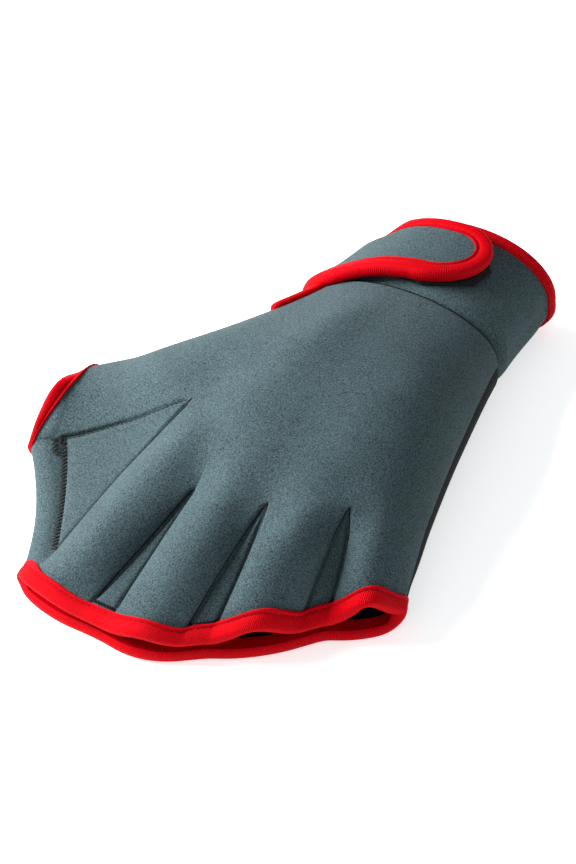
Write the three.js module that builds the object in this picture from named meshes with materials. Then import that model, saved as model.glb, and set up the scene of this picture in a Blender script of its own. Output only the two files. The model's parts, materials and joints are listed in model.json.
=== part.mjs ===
// A left-hand swim glove of soft rubber cloth, lying palm down and filled out.
// Plan: -Y toward the fingers, +Y toward the cuff, -X the thumb side, +Z up. Millimetres.
import * as THREE from 'three';

// Cloth and tape
const CLOTH = 2.5;            // thickness of the panels
const EDGE_CLOTH = 1.6;       // thickness where the web between thumb and index rolls over
const EDGE_BLEND = 9;         // distance over which the thickness grows back to full
const GAP = 0.35;             // space left between neighbouring pieces
const RIM_GAP = 0.15;         // the tape's rim stands this much further off
const END_GAP = 0.75;         // space between the cloth's cut end and the fold of the tape
const TAPE = 1.05;            // thickness of the edge tape on the outside
const TAPE_IN = 0.8;          // thickness of the edge tape on the inside
const TAPE_CORNER = 0.5;      // inside thickness at the closed corners of the mouths
const TAPE_WIDTH = 5.6;        // how far the tape reaches on to the cloth
const CORNER_WIDTH = 0.35;    // the same at the closed corners of the mouths
const ON_EDGE = 0.03;         // plan points this near an edge lie on it
const REST = GAP + RIM_GAP + TAPE; // lift of the cloth where tape lies under it

// Stations along the hand: cuff end -1, wrist seam 0, root of the fingers 1, mouths 2.
// Plan edges with the height of the side seam.
const THUMB_EDGE = [
  { v: -1, x: -14, y: 109, z: 16 },
  { v: 0, x: -26, y: 69.5, z: 16 },
  { v: 0.5, x: -42.5, y: 40, z: 15 },
  { v: 1, x: -62, y: 18.2, z: 15 },
  { v: 1.5, x: -74.5, y: 7.5, z: 15 },
  { v: 2, x: -85, y: 0, z: 15 },
];
const LITTLE_EDGE = [
  { v: -1, x: 55.5, y: 106.5, z: 16 },
  { v: 0, x: 51.8, y: 70.5, z: 18 },
  { v: 0.5, x: 54.2, y: 30, z: 17.5 },
  { v: 1, x: 58.8, y: -5, z: 16.5 },
  { v: 1.5, x: 63.2, y: -26, z: 13.5 },
  { v: 2, x: 67.3, y: -42.5, z: 9.5 },
];
// Height of the back, bow of the cross rows toward the fingers, and how far the
// side rounding reaches in from the thumb edge and from the little-finger edge.
const PROFILE = [
  { v: -1, crown: 40.5, bow: -2, thumbSide: 34, littleSide: 33 },
  { v: 0, crown: 41, bow: 1, thumbSide: 36, littleSide: 36 },
  { v: 0.5, crown: 46, bow: 17, thumbSide: 36, littleSide: 34 },
  { v: 1, crown: 38, bow: 40, thumbSide: 30, littleSide: 34 },
  { v: 1.5, crown: 24, bow: 40, thumbSide: 24, littleSide: 22 },
  { v: 2, crown: 9.8, bow: 40, thumbSide: 22, littleSide: 13 },
];
// Height of the thumb along its outer edge, along its web seam, and of the index edge of that web.
const THUMB_OUTER = [
  { v: -1, z: 40.5 }, { v: 0, z: 41 }, { v: 0.5, z: 44 }, { v: 1, z: 36 }, { v: 1.5, z: 24 }, { v: 2, z: 16 },
];
const THUMB_INNER = [{ v: 0.5, z: 46 }, { v: 1, z: 38 }, { v: 1.4, z: 25 }, { v: 1.75, z: 15 }, { v: 2, z: 13 }];
const INDEX_INNER = [{ v: 0.5, z: 46 }, { v: 1, z: 38 }, { v: 1.4, z: 24 }, { v: 1.75, z: 13 }, { v: 2, z: 9.8 }];

// Five ribbons across the hand. ridge: rounding at the root, half way and at the mouth;
// sag: how far the mouth bows outward; across: columns over the back and over the palm.
const RIBBONS = [
  { name: 'thumb', from: 0, to: 0.235, root: 0, half: 4, mouth: 12, sag: 0,
    top: [0, 0.04, 0.15, 0.33, 0.55, 0.77, 0.93, 1], under: [0, 0.05, 0.12, 0.22, 0.5, 0.8, 0.94, 1] },
  { name: 'index', from: 0.235, to: 0.4, root: 3, half: 8, mouth: 1, sag: 3.4,
    top: [0, 0.1, 0.3, 0.5, 0.7, 0.9, 1], under: [0, 0.05, 0.11, 0.22, 0.55, 1] },
  { name: 'middle', from: 0.4, to: 0.605, root: 4, half: 9, mouth: 3.5, sag: 2.8,
    top: [0, 0.1, 0.3, 0.5, 0.7, 0.9, 1], under: [0, 0.5, 1] },
  { name: 'ring', from: 0.605, to: 0.803, root: 4, half: 9, mouth: 6, sag: 1.6,
    top: [0, 0.1, 0.3, 0.5, 0.7, 0.9, 1], under: [0, 0.5, 1] },
  { name: 'little', from: 0.803, to: 1, root: 3, half: 8, mouth: 10, sag: 2,
    top: [0, 0.1, 0.3, 0.5, 0.7, 0.86, 0.96, 1], under: [0, 0.4, 0.75, 0.93, 1] },
];
// Web panels between the ribbons. tip: where the two seams part; thumbward and littleward:
// plan courses of the seams; sag: hollow of the free edge; columns as above.
const WEBS = [
  { name: 'thumb_web', tip: null, sag: 3.7, top: [0, 0.2, 0.4, 0.6, 0.8, 1], under: [0, 0.33, 0.67, 1],
    thumbward: [{ v: 1.4, x: -54, y: -24 }, { v: 1.75, x: -75.2, y: -34.3 }, { v: 2, x: -86, y: -40 }],
    littleward: [{ v: 1.4, x: -42.5, y: -41 }, { v: 1.75, x: -51.8, y: -78.2 }, { v: 2, x: -61, y: -84 }] },
  { name: 'index_web', tip: { v: 1.25, x: -13.4, y: -43.3 }, sag: 0, top: [0, 0.5, 1], under: [0, 1],
    thumbward: [{ v: 1.6, x: -20.5, y: -66.5 }, { v: 2, x: -30.5, y: -93.7 }],
    littleward: [{ v: 1.6, x: -16.2, y: -68 }, { v: 2, x: -21, y: -94 }] },
  { name: 'middle_web', tip: { v: 1.1, x: 13.1, y: -40.3 }, sag: 0, top: [0, 0.5, 1], under: [0, 1],
    thumbward: [{ v: 1.5, x: 9.3, y: -62 }, { v: 2, x: 5, y: -89 }],
    littleward: [{ v: 1.5, x: 14.6, y: -61 }, { v: 2, x: 13.5, y: -83.3 }] },
  { name: 'ring_web', tip: null, sag: 0, top: [0, 0.5, 1], under: [0, 1],
    thumbward: [{ v: 1.5, x: 37.8, y: -46 }, { v: 2, x: 38.6, y: -66.6 }],
    littleward: [{ v: 1.5, x: 43.2, y: -41 }, { v: 2, x: 45.6, y: -59.2 }] },
];
const WEB_EDGE_HEIGHT = { thumb: 9, index: 5.6 };   // side height at the two ends of the free web edge
const WEB_ROUND = 7;          // reach of the rounding along the free web edge, back
const WEB_ROUND_UNDER = 6;    // and palm
const UNDER_ROUND = 13;       // reach of the rounding at the thumb side of the palm
const LITTLE_UNDER = 8;       // and at its little-finger side
const STRIP_FROM = 1.75;      // the rolled strip starts at this station
const INDEX_BLEND = 0.6;      // part of the index ribbon over which its web edge height fades
const RIDGE_CRISP = 0.7;      // power that makes the finger ridges steep at their seams
const HAND_ROWS = [0, 0.1, 0.25, 0.4, 0.55, 0.7, 0.85, 1];
const FINGER_ROWS = [1.05, 1.1, 1.16, 1.25, 1.31, 1.4, 1.5, 1.62, 1.75, 1.81, 1.87, 2];
const WEB_START = 0.055;      // a web panel starts this far beyond its tip

// Cuff: an open ring with its slit at the thumb edge
const CUFF_TAPE = 2.6;         // how far the tape reaches on to the cuff
const CUFF_ROWS = [-1, -0.93, -0.84, -0.75, -0.5, -0.25, -0.009];
const CUFF_TOP = [0, 0.012, 0.05, 0.13, 0.24, 0.37, 0.5, 0.63, 0.76, 0.87, 0.95, 0.988, 1];
const CUFF_UNDER = [0, 0.025, 0.09, 0.18, 0.5, 0.82, 0.91, 0.975, 1];
const SLIT = 0.5;             // half the width of the slit
// Strap, measured round the wrist from the thumb edge (s) and along the arm (y)
const STRAP_LOWER = [
  { v: -9, y: 71.5 }, { v: 8, y: 69.9 }, { v: 22, y: 71 }, { v: 33, y: 72.5 }, { v: 44, y: 73.8 }, { v: 53, y: 75 },
];
const STRAP_UPPER = 102.8;    // y of the upper edge
const STRAP_REACH = 66;       // s of the tip
const STRAP_ROOT = -9;        // s of the sewn end
const STRAP_TIP = 14;         // radius of the tip
const STRAP_LIFT = { root: 1.5, tip: 3.1, from: 18, to: 38 };
const PATCH = { from: 42, to: 64.5, lower: 79, upper: 99, off: 0.4, thick: 1.45 };
// Tape on the slit's edge, high on the thumb side: stations, and the share of the hand's width it lies at
const SLIT_TAPE = { rows: [0.36, 0.26, 0.18, 0.1, 0.06], share: 0.0865, slope: -0.0445, width: 3.4, stand: 2.4 };

const PLAN_CENTRE = { x: -9.917, y: 7.613 };   // middle of the whole outline in plan

// Colours and finishes
const GREY = { color: 0x5a6c70, roughness: 0.88, metalness: 0 };
const GREY_WEB = { color: 0x647679, roughness: 0.88, metalness: 0 };
const BLACK = { color: 0x1d2022, roughness: 0.85, metalness: 0 };
const HOOKS = { color: 0x141618, roughness: 0.95, metalness: 0 };
const RED = { color: 0xdd1420, roughness: 0.72, metalness: 0 };

// A smooth curve through one column of a table, at station v
function column(rows, key, v) {
  const last = rows.length - 1;
  let i = 0;
  while (i < last - 1 && v >= rows[i + 1].v) i += 1;
  const slope = (k) => {
    const a = rows[Math.max(k - 1, 0)];
    const b = rows[Math.min(k + 1, last)];
    return (b[key] - a[key]) / (b.v - a.v);
  };
  const h = rows[i + 1].v - rows[i].v;
  const t = (v - rows[i].v) / h;
  const t2 = t * t;
  const t3 = t2 * t;
  return (2 * t3 - 3 * t2 + 1) * rows[i][key] + (t3 - 2 * t2 + t) * h * slope(i)
    + (3 * t2 - 2 * t3) * rows[i + 1][key] + (t3 - t2) * h * slope(i + 1);
}

const smooth = (x) => {
  const c = Math.min(Math.max(x, 0), 1);
  return c * c * (3 - 2 * c);
};
const mix = (a, b, t) => a + (b - a) * t;
const quarter = (x) => Math.sqrt(Math.max(1 - (1 - Math.min(Math.max(x, 0), 1)) ** 2, 0));

// Plan of the hand up to the root of the fingers: a row from edge to edge, bowed toward the fingers
function trunkPlan(v, across) {
  const x = mix(column(THUMB_EDGE, 'x', v), column(LITTLE_EDGE, 'x', v), across);
  const y = mix(column(THUMB_EDGE, 'y', v), column(LITTLE_EDGE, 'y', v), across);
  return { x, y: y - column(PROFILE, 'bow', v) * 4 * across * (1 - across) };
}

// Plan of one seam of a web beyond the root of the fingers
function seamPlan(webIndex, side, v) {
  const web = WEBS[webIndex];
  const root = { v: 1, ...trunkPlan(1, RIBBONS[webIndex].to) };
  const start = web.tip ?? root;
  if (v <= start.v) {
    const t = web.tip ? (v - 1) / (web.tip.v - 1) : 0;
    return { x: mix(root.x, start.x, t), y: mix(root.y, start.y, t) };
  }
  const rows = [start, ...web[side]];
  return { x: column(rows, 'x', v), y: column(rows, 'y', v) };
}

// A point between a and b, moved sideways toward the fingers by sag
function between(a, b, t, sag) {
  const dx = b.x - a.x;
  const dy = b.y - a.y;
  const length = Math.max(Math.hypot(dx, dy), 1e-9);
  const push = sag * 4 * t * (1 - t) / length;
  return { x: mix(a.x, b.x, t) + dy * push, y: mix(a.y, b.y, t) - dx * push };
}

function ribbonPlan(k, v, q) {
  const ribbon = RIBBONS[k];
  if (v <= 1) return trunkPlan(v, mix(ribbon.from, ribbon.to, q));
  const left = k > 0 ? seamPlan(k - 1, 'littleward', v)
    : { x: column(THUMB_EDGE, 'x', v), y: column(THUMB_EDGE, 'y', v) };
  const right = k < 4 ? seamPlan(k, 'thumbward', v)
    : { x: column(LITTLE_EDGE, 'x', v), y: column(LITTLE_EDGE, 'y', v) };
  const rootSag = column(PROFILE, 'bow', 1) * (ribbon.to - ribbon.from) ** 2;
  return between(left, right, q, mix(rootSag, ribbon.sag, v - 1));
}

function webPlan(w, v, s) {
  const sag = -WEBS[w].sag * (v - 1) ** 4;
  return between(seamPlan(w, 'thumbward', v), seamPlan(w, 'littleward', v), s, sag);
}

// The three plan edges where back and palm meet, as short segments with their seam heights
function edgeLine(count, point) {
  return Array.from({ length: count + 1 }, (_, i) => point(i / count));
}
const EDGES = [
  edgeLine(90, (t) => {
    const v = mix(-1, 2, t);
    return { x: column(THUMB_EDGE, 'x', v), y: column(THUMB_EDGE, 'y', v), z: column(THUMB_EDGE, 'z', v) };
  }),
  edgeLine(30, (t) => ({ ...webPlan(0, 2, t), z: mix(WEB_EDGE_HEIGHT.thumb, WEB_EDGE_HEIGHT.index, t) })),
  edgeLine(90, (t) => {
    const v = mix(-1, 2, t);
    return { x: column(LITTLE_EDGE, 'x', v), y: column(LITTLE_EDGE, 'y', v), z: column(LITTLE_EDGE, 'z', v) };
  }),
];

// Distance from a plan point to an edge, and the seam height at the nearest place
function nearest(edge, p) {
  let best = { d: Infinity, z: 0 };
  for (let i = 0; i + 1 < edge.length; i += 1) {
    const a = edge[i];
    const b = edge[i + 1];
    const dx = b.x - a.x;
    const dy = b.y - a.y;
    const along = ((p.x - a.x) * dx + (p.y - a.y) * dy) / (dx * dx + dy * dy);
    const t = Math.min(Math.max(along, 0), 1);
    const d = Math.hypot(p.x - a.x - dx * t, p.y - a.y - dy * t);
    if (d < best.d) best = { d, z: mix(a.z, b.z, t) };
  }
  return { d: Math.max(best.d - ON_EDGE, 0), z: best.z };
}

// Floor of the palm: flat on the table, lifted where tape lies under the cloth
function floorAt(v) {
  return REST * (smooth((v - 1.45) / 0.27) + smooth((-0.72 - v) / 0.12));
}

// The skin at a plan point: back or palm height from the distances to the three edges
function skinPoint(plan, v, crown, isTop) {
  const [thumb, web, little] = EDGES.map((edge) => nearest(edge, plan));
  const weights = [thumb, web, little].map((e) => 1 / (e.d * e.d + 1e-6));
  const seam = (weights[0] * thumb.z + weights[1] * web.z + weights[2] * little.z)
    / (weights[0] + weights[1] + weights[2]);
  const rise = isTop
    ? quarter(thumb.d / column(PROFILE, 'thumbSide', v)) * quarter(web.d / WEB_ROUND)
      * quarter(little.d / column(PROFILE, 'littleSide', v))
    : quarter(thumb.d / UNDER_ROUND) * quarter(web.d / WEB_ROUND_UNDER) * quarter(little.d / LITTLE_UNDER);
  const target = isTop ? crown : floorAt(v);
  const thick = mix(EDGE_CLOTH, CLOTH, smooth(web.d / EDGE_BLEND));
  return { p: new THREE.Vector3(plan.x, plan.y, mix(seam, target, rise)), thick };
}

// Height of a ribbon's back: the table's crown plus the finger's ridge
function ribbonCrown(k, v, q) {
  const crown = column(PROFILE, 'crown', v);
  let base = crown;
  if (k === 0) base = mix(column(THUMB_OUTER, 'z', v), v > 1 ? column(THUMB_INNER, 'z', v) : crown, q);
  if (k === 1 && v > 1) base = mix(column(INDEX_INNER, 'z', v), crown, smooth(q / INDEX_BLEND));
  const ribbon = RIBBONS[k];
  const ridge = column([{ v: 0, r: 0 }, { v: 0.6, r: 0 }, { v: 1, r: ribbon.root }, { v: 1.5, r: ribbon.half },
    { v: 2, r: ribbon.mouth }], 'r', Math.max(v, 0));
  const held = (k === 0 && q < 0.5) || (k === 4 && q > 0.5) ? 0.5 : q;   // full height on toward the outer sides
  const soft = (1 - Math.cos(2 * Math.PI * q)) / 2;
  const crisp = Math.max(4 * held * (1 - held), 0) ** RIDGE_CRISP;
  return base + ridge * mix(soft, crisp, smooth((v - 1) / 0.5));
}

function webCrown(w, v, s) {
  return w === 0 ? mix(column(THUMB_INNER, 'z', v), column(INDEX_INNER, 'z', v), s) : column(PROFILE, 'crown', v);
}

const ribbonTop = (k) => (v, q) => skinPoint(ribbonPlan(k, v, q), v, ribbonCrown(k, v, q), true);
const ribbonUnder = (k) => (v, q) => skinPoint(ribbonPlan(k, v, q), v, 0, false);
const webTop = (w) => (v, s) => skinPoint(webPlan(w, v, s), v, webCrown(w, v, s), true);
const webUnder = (w) => (v, s) => skinPoint(webPlan(w, v, s), v, 0, false);

// Welded skin: patches share their border vertices, so that all pieces share one set of normals
class Skin {
  constructor() {
    this.vertices = new Map();
    this.triangles = [];
  }

  vertex(point) {
    const key = point.p.toArray().map((c) => Math.round(c * 1000)).join(',');
    if (!this.vertices.has(key)) this.vertices.set(key, { p: point.p, thick: point.thick, n: new THREE.Vector3() });
    return this.vertices.get(key);
  }

  // A patch of rows (v) by columns; reversed for the palm, whose outside faces down
  patch(rows, columns, point, reversed) {
    const grid = rows.map((v) => columns.map((q) => this.vertex(point(v, q))));
    const cells = [];
    for (let i = 0; i + 1 < rows.length; i += 1) {
      for (let j = 0; j + 1 < columns.length; j += 1) {
        const [a, b, c, d] = [grid[i][j], grid[i + 1][j], grid[i + 1][j + 1], grid[i][j + 1]];
        const flip = (q) => (reversed ? [q[0], q[2], q[1]] : q);
        const faces = [flip([a, b, c]), flip([a, c, d])].filter((f) => new Set(f).size === 3);
        cells.push({ row: i, faces });
        this.triangles.push(...faces);
      }
    }
    return { rows, grid, cells };
  }

  // Averages the normals; level ones along the side seams, where back and palm meet
  finish(seams) {
    const ab = new THREE.Vector3();
    const ac = new THREE.Vector3();
    for (const [a, b, c] of this.triangles) {
      ab.subVectors(b.p, a.p);
      ac.subVectors(c.p, a.p);
      ab.cross(ac);
      for (const vertex of [a, b, c]) vertex.n.add(ab);
    }
    for (const vertex of seams) vertex.n.setZ(0);
    for (const vertex of this.vertices.values()) vertex.n.normalize();
  }
}

const faces = (patch, from, to) => patch.cells
  .filter((cell) => patch.rows[cell.row] >= from - 1e-9 && patch.rows[cell.row + 1] <= to + 1e-9)
  .flatMap((cell) => cell.faces);

// A vertex moved by a distance toward its neighbour on the skin
function toward(vertex, next, distance) {
  const t = distance / vertex.p.distanceTo(next.p);
  return { p: vertex.p.clone().lerp(next.p, t), n: vertex.n.clone().lerp(next.n, t).normalize(),
    thick: mix(vertex.thick, next.thick, t) };
}

// The place a distance along a line of skin vertices
function walk(line, distance) {
  let left = distance;
  for (let i = 0; i + 1 < line.length; i += 1) {
    const step = line[i].p.distanceTo(line[i + 1].p);
    if (left <= step) return toward(line[i], line[i + 1], left);
    left -= step;
  }
  return line[line.length - 1];
}

function geometry(points, indices) {
  const geo = new THREE.BufferGeometry();
  geo.setAttribute('position', new THREE.Float32BufferAttribute(points.flatMap((p) => [p.x, p.y, p.z]), 3));
  geo.setIndex(indices);
  geo.computeVertexNormals();
  return geo;
}

// A closed solid from skin triangles: the outside, the same set in by the cloth, and the cut edges
function thicken(triangles, moved = new Map()) {
  const index = new Map();
  const points = [];
  const place = (vertex) => {
    if (!index.has(vertex)) {
      const at = moved.get(vertex) ?? vertex;
      index.set(vertex, points.length);
      points.push(at.p, at.p.clone().addScaledVector(at.n, -at.thick));
    }
    return index.get(vertex);
  };
  const indices = [];
  const edges = new Map();
  for (const face of triangles) {
    const [a, b, c] = face.map(place);
    indices.push(a, b, c, a + 1, c + 1, b + 1);
    for (const [u, w] of [[a, b], [b, c], [c, a]]) edges.set(`${u},${w}`, [u, w]);
  }
  for (const [u, w] of edges.values()) {
    if (!edges.has(`${w},${u}`)) indices.push(w, u, u + 1, w, u + 1, w + 1);
  }
  return geometry(points, indices);
}

// A solid sheet from a grid of {p, n, thick}
function sheet(grid) {
  const triangles = [];
  for (let i = 0; i + 1 < grid.length; i += 1) {
    for (let j = 0; j + 1 < grid[i].length; j += 1) {
      const [a, b, c, d] = [grid[i][j], grid[i + 1][j], grid[i + 1][j + 1], grid[i][j + 1]];
      triangles.push([a, b, c], [a, c, d]);
    }
  }
  return thicken(triangles);
}

// Tape folded round a cloth edge: a U section carried along stations {edge, far, inner}
function tape(stations, closed) {
  const points = [];
  for (const { edge, far, inner } of stations) {
    const into = far.p.clone().sub(edge.p).normalize();
    const at = (place, out, past) => place.p.clone().addScaledVector(place.n, out).addScaledVector(into, -past);
    const outside = GAP + TAPE;
    const under = -edge.thick - GAP;
    const farUnder = -far.thick - GAP - RIM_GAP;
    points.push(
      at(far, outside + RIM_GAP, 0), at(edge, outside, 0), at(edge, GAP, END_GAP + TAPE),
      at(edge, under, END_GAP + TAPE), at(edge, under - inner, 0), at(far, farUnder - inner, 0),
      at(far, farUnder, 0), at(edge, under, 0), at(edge, under, END_GAP),
      at(edge, GAP, END_GAP), at(edge, GAP, 0), at(far, GAP + RIM_GAP, 0),
    );
  }
  return sweep(points, 12, closed);
}

// Joins equal rings of points into a closed body; an open run gets a cap at each end,
// made of quads between the first half of the ring and the second half
function sweep(points, ring, closed) {
  const count = points.length / ring;
  const indices = [];
  for (let i = 0; i < (closed ? count : count - 1); i += 1) {
    const next = (i + 1) % count;
    for (let j = 0; j < ring; j += 1) {
      const k = (j + 1) % ring;
      const [a, b, c, d] = [i * ring + j, next * ring + j, next * ring + k, i * ring + k];
      indices.push(a, b, c, a, c, d);
    }
  }
  for (let j = 0; j + 1 < ring / 2 && !closed; j += 1) {
    const [a, b, c, d] = [j, j + 1, ring - 2 - j, ring - 1 - j];
    const end = (count - 1) * ring;
    indices.push(a, b, c, a, c, d, end + a, end + c, end + b, end + a, end + d, end + c);
  }
  return geometry(points, indices);
}

// The tables are laid out from the knuckles; the finished piece stands on the middle of its own outline
const group = new THREE.Group();
group.name = 'swim_glove';

function add(name, geo, finish) {
  geo.translate(-PLAN_CENTRE.x, -PLAN_CENTRE.y, 0);
  const mesh = new THREE.Mesh(geo, new THREE.MeshStandardMaterial(finish));
  mesh.name = name;
  group.add(mesh);
}

// Hand skin
const skin = new Skin();
const rows = [...HAND_ROWS, ...FINGER_ROWS];
const tops = RIBBONS.map((ribbon, k) => skin.patch(rows, ribbon.top, ribbonTop(k), false));
const unders = RIBBONS.map((ribbon, k) => skin.patch(rows, ribbon.under, ribbonUnder(k), true));
const webRows = WEBS.map((web) => rows.filter((v) => v >= (web.tip ? web.tip.v : 1)));
const webTops = WEBS.map((web, w) => skin.patch(webRows[w], web.top, webTop(w), false));
const webUnders = WEBS.map((web, w) => skin.patch(webRows[w], web.under, webUnder(w), true));
const lastRow = (patch) => patch.grid[patch.grid.length - 1];
const firstColumn = (patch) => patch.grid.map((row) => row[0]);
const lastColumn = (patch) => patch.grid.map((row) => row[row.length - 1]);
skin.finish([...firstColumn(tops[0]), ...lastColumn(tops[4]), ...lastRow(webTops[0]),
  ...lastRow(webUnders[0])]);

// Back: five ribbons in one piece, with the rolled strip along the free edge of the thumb web
add('back_panel', thicken([...tops.flatMap((patch) => patch.cells.flatMap((cell) => cell.faces)),
  ...faces(webTops[0], STRIP_FROM, 2)]), GREY);

// Palm: one piece, its side edges held off the back's
const moved = new Map();
const lower = (vertex, next) => moved.set(vertex, { ...toward(vertex, next, GAP), n: vertex.n });
for (const row of unders[0].grid) lower(row[0], row[1]);
for (const row of unders[4].grid) lower(row[row.length - 1], row[row.length - 2]);
const [webInner, webRim] = webUnders[0].grid.slice(-2);
webRim.forEach((vertex, j) => lower(vertex, webInner[j]));
const thumbRim = lastRow(unders[0]);
lower(thumbRim[thumbRim.length - 1], thumbRim[thumbRim.length - 2]);
lower(lastRow(unders[1])[0], lastRow(unders[1])[1]);
add('palm_panel', thicken([...unders, ...webUnders].flatMap((patch) => patch.cells.flatMap((cell) => cell.faces)),
  moved), BLACK);

// Web panels, set in from the seams round them
WEBS.forEach((web, w) => {
  const end = w === 0 ? STRIP_FROM : 2;
  const grid = webTops[w].grid
    .filter((row, i) => i > 0 && webRows[w][i] <= end && webRows[w][i] >= webRows[w][0] + WEB_START)
    .map((row) => [...row]);
  for (const row of grid) {
    const last = row.length - 1;
    const ends = [toward(row[0], row[1], GAP), toward(row[last], row[last - 1], GAP)];
    [row[0], row[last]] = ends;
  }
  if (w === 0) {
    const last = grid.length - 1;
    grid[last] = grid[last].map((vertex, j) => toward(vertex, grid[last - 1][j], GAP));
  }
  add(web.name, sheet(grid), GREY_WEB);
});

// Tape stations down the columns of a patch, from the mouth inward. The tape narrows and thins
// toward a closed corner, counted in columns from the corner; corner -1 means there is none.
function stations(patch, corner) {
  const columns = lastRow(patch).map((_, j) => patch.grid.map((row) => row[j]).reverse());
  return columns.map((line, j) => {
    const steps = corner < 0 ? Infinity : Math.abs(j - corner);
    const width = Math.min(mix(CORNER_WIDTH, TAPE_WIDTH, Math.min(steps, 9) / 3), TAPE_WIDTH);
    return { edge: line[0], far: walk(line, width), inner: steps < 2 ? TAPE_CORNER : TAPE_IN };
  });
}

// Station at a closed corner of a mouth, square to the rim that ends there
function cornerStation([corner, next], turn) {
  const n = corner.p.clone().sub(next.p).setZ(0).normalize();
  const into = new THREE.Vector3(-n.y * turn, n.x * turn, 0);
  const edge = { p: corner.p, n, thick: corner.thick };
  return { edge, far: { ...edge, p: corner.p.clone().addScaledVector(into, CORNER_WIDTH) }, inner: TAPE_CORNER };
}

// Finger mouth: over the back from index to little finger and home under the palm
const fingerTop = [1, 2, 3, 4].flatMap((k) => [
  ...stations(tops[k], k === 1 ? 0 : -1),
  ...(k < 4 ? stations(webTops[k], -1).slice(1, -1) : []),
]);
const fingerUnder = [4, 3, 2, 1].flatMap((k) => stations(unders[k], k === 1 ? 0 : -1).reverse());
fingerTop[0] = cornerStation(lastRow(tops[1]), -1);
add('finger_binding', tape([...fingerTop, ...fingerUnder.slice(1, -1)].reverse(), true), RED);

// Thumb mouth
const thumbTop = stations(tops[0], lastRow(tops[0]).length - 1);
const thumbUnder = stations(unders[0], lastRow(unders[0]).length - 1).reverse();
thumbTop[thumbTop.length - 1] = cornerStation([...lastRow(tops[0])].reverse(), 1);
add('thumb_binding', tape([...thumbTop, ...thumbUnder.slice(1, -1)].reverse(), true), RED);

// Cuff skin: one sheet from the slit over the back, round the little-finger side and under the wrist
function wristPoint(v, across, isTop) {
  const k = RIBBONS.findIndex((ribbon) => across <= ribbon.to);
  const q = (across - RIBBONS[k].from) / (RIBBONS[k].to - RIBBONS[k].from);
  return (isTop ? ribbonTop(k) : ribbonUnder(k))(v, q);
}
const cuffSkin = new Skin();
const cuffTop = cuffSkin.patch(CUFF_ROWS, CUFF_TOP, (v, t) => wristPoint(v, t, true), false);
const cuffUnder = cuffSkin.patch(CUFF_ROWS, CUFF_UNDER, (v, t) => wristPoint(v, t, false), true);
cuffSkin.finish([...firstColumn(cuffTop), ...lastColumn(cuffTop)]);
const cuffGrid = cuffTop.grid.map((row, i) => {
  const under = cuffUnder.grid[i];
  const ring = [...row, ...under.slice(0, -1).reverse()];
  const last = ring.length - 1;
  return [toward(ring[0], ring[1], SLIT), ...ring.slice(1, last), toward(ring[last], ring[last - 1], SLIT)];
});
add('cuff', sheet(cuffGrid), GREY);
const cuffStations = cuffGrid[0].map((edge, j) => ({
  edge, far: walk(cuffGrid.map((row) => row[j]), CUFF_TAPE), inner: TAPE_IN,
}));
add('cuff_binding', tape(cuffStations, false), RED);

// The wrist's outside at station v, a distance s round from the thumb edge, s > 0 over the back
function wristLine(v, isTop) {
  return edgeLine(60, (t) => wristPoint(v, (1 - Math.cos(Math.PI * t)) / 2, isTop).p);
}
const lineCache = new Map();
function wrap(s, y) {
  const v = (109 - y) / 39 - 1;
  const key = `${v.toFixed(5)},${s >= 0}`;
  if (!lineCache.has(key)) lineCache.set(key, wristLine(v, s >= 0));
  const line = lineCache.get(key);
  let left = Math.abs(s);
  let i = 0;
  while (i < line.length - 2 && left > line[i].distanceTo(line[i + 1])) {
    left -= line[i].distanceTo(line[i + 1]);
    i += 1;
  }
  return line[i].clone().lerp(line[i + 1], left / line[i].distanceTo(line[i + 1]));
}
function onWrist(s, y, off, thick) {
  const step = 1.5;
  const round = wrap(s + step, y).sub(wrap(s - step, y));
  const along = wrap(s, y - step).sub(wrap(s, y + step));
  const n = along.cross(round).normalize();
  return { p: wrap(s, y).addScaledVector(n, off + thick), n, thick };
}

// Strap: a tongue wrapped over the thumb side and back of the cuff
const liftAt = (s) => mix(STRAP_LIFT.root, STRAP_LIFT.tip,
  smooth((s - STRAP_LIFT.from) / (STRAP_LIFT.to - STRAP_LIFT.from)));
const tipCentre = STRAP_REACH - STRAP_TIP;
function strapSpan(s) {
  const lower = column(STRAP_LOWER, 'y', Math.min(s, tipCentre));
  const middle = (column(STRAP_LOWER, 'y', tipCentre) + STRAP_UPPER) / 2;
  const half = (STRAP_UPPER - column(STRAP_LOWER, 'y', tipCentre)) / 2;
  if (s <= tipCentre) return [lower, STRAP_UPPER];
  const bulge = half * Math.sqrt(Math.max(1 - ((s - tipCentre) / STRAP_TIP) ** 2, 0));
  return [middle - bulge, middle + bulge];
}
const strapAt = (s, y) => onWrist(s, y, liftAt(s), CLOTH);
// Evenly spaced stations up to the tip, then closing up round it
const strapSteps = [
  ...Array.from({ length: 13 }, (_, i) => mix(STRAP_ROOT, tipCentre, i / 12)),
  ...[18, 36, 54, 70, 80].map((angle) => tipCentre + STRAP_TIP * Math.sin(THREE.MathUtils.degToRad(angle))),
];
const strapGrid = strapSteps.map((s) => {
  const [low, high] = strapSpan(s);
  return [0, 0.2, 0.4, 0.6, 0.8, 1].map((t) => strapAt(s, mix(high, low, t)));
});
add('strap', sheet(strapGrid[0].map((_, j) => strapGrid.map((row) => row[j]))), GREY);

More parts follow.
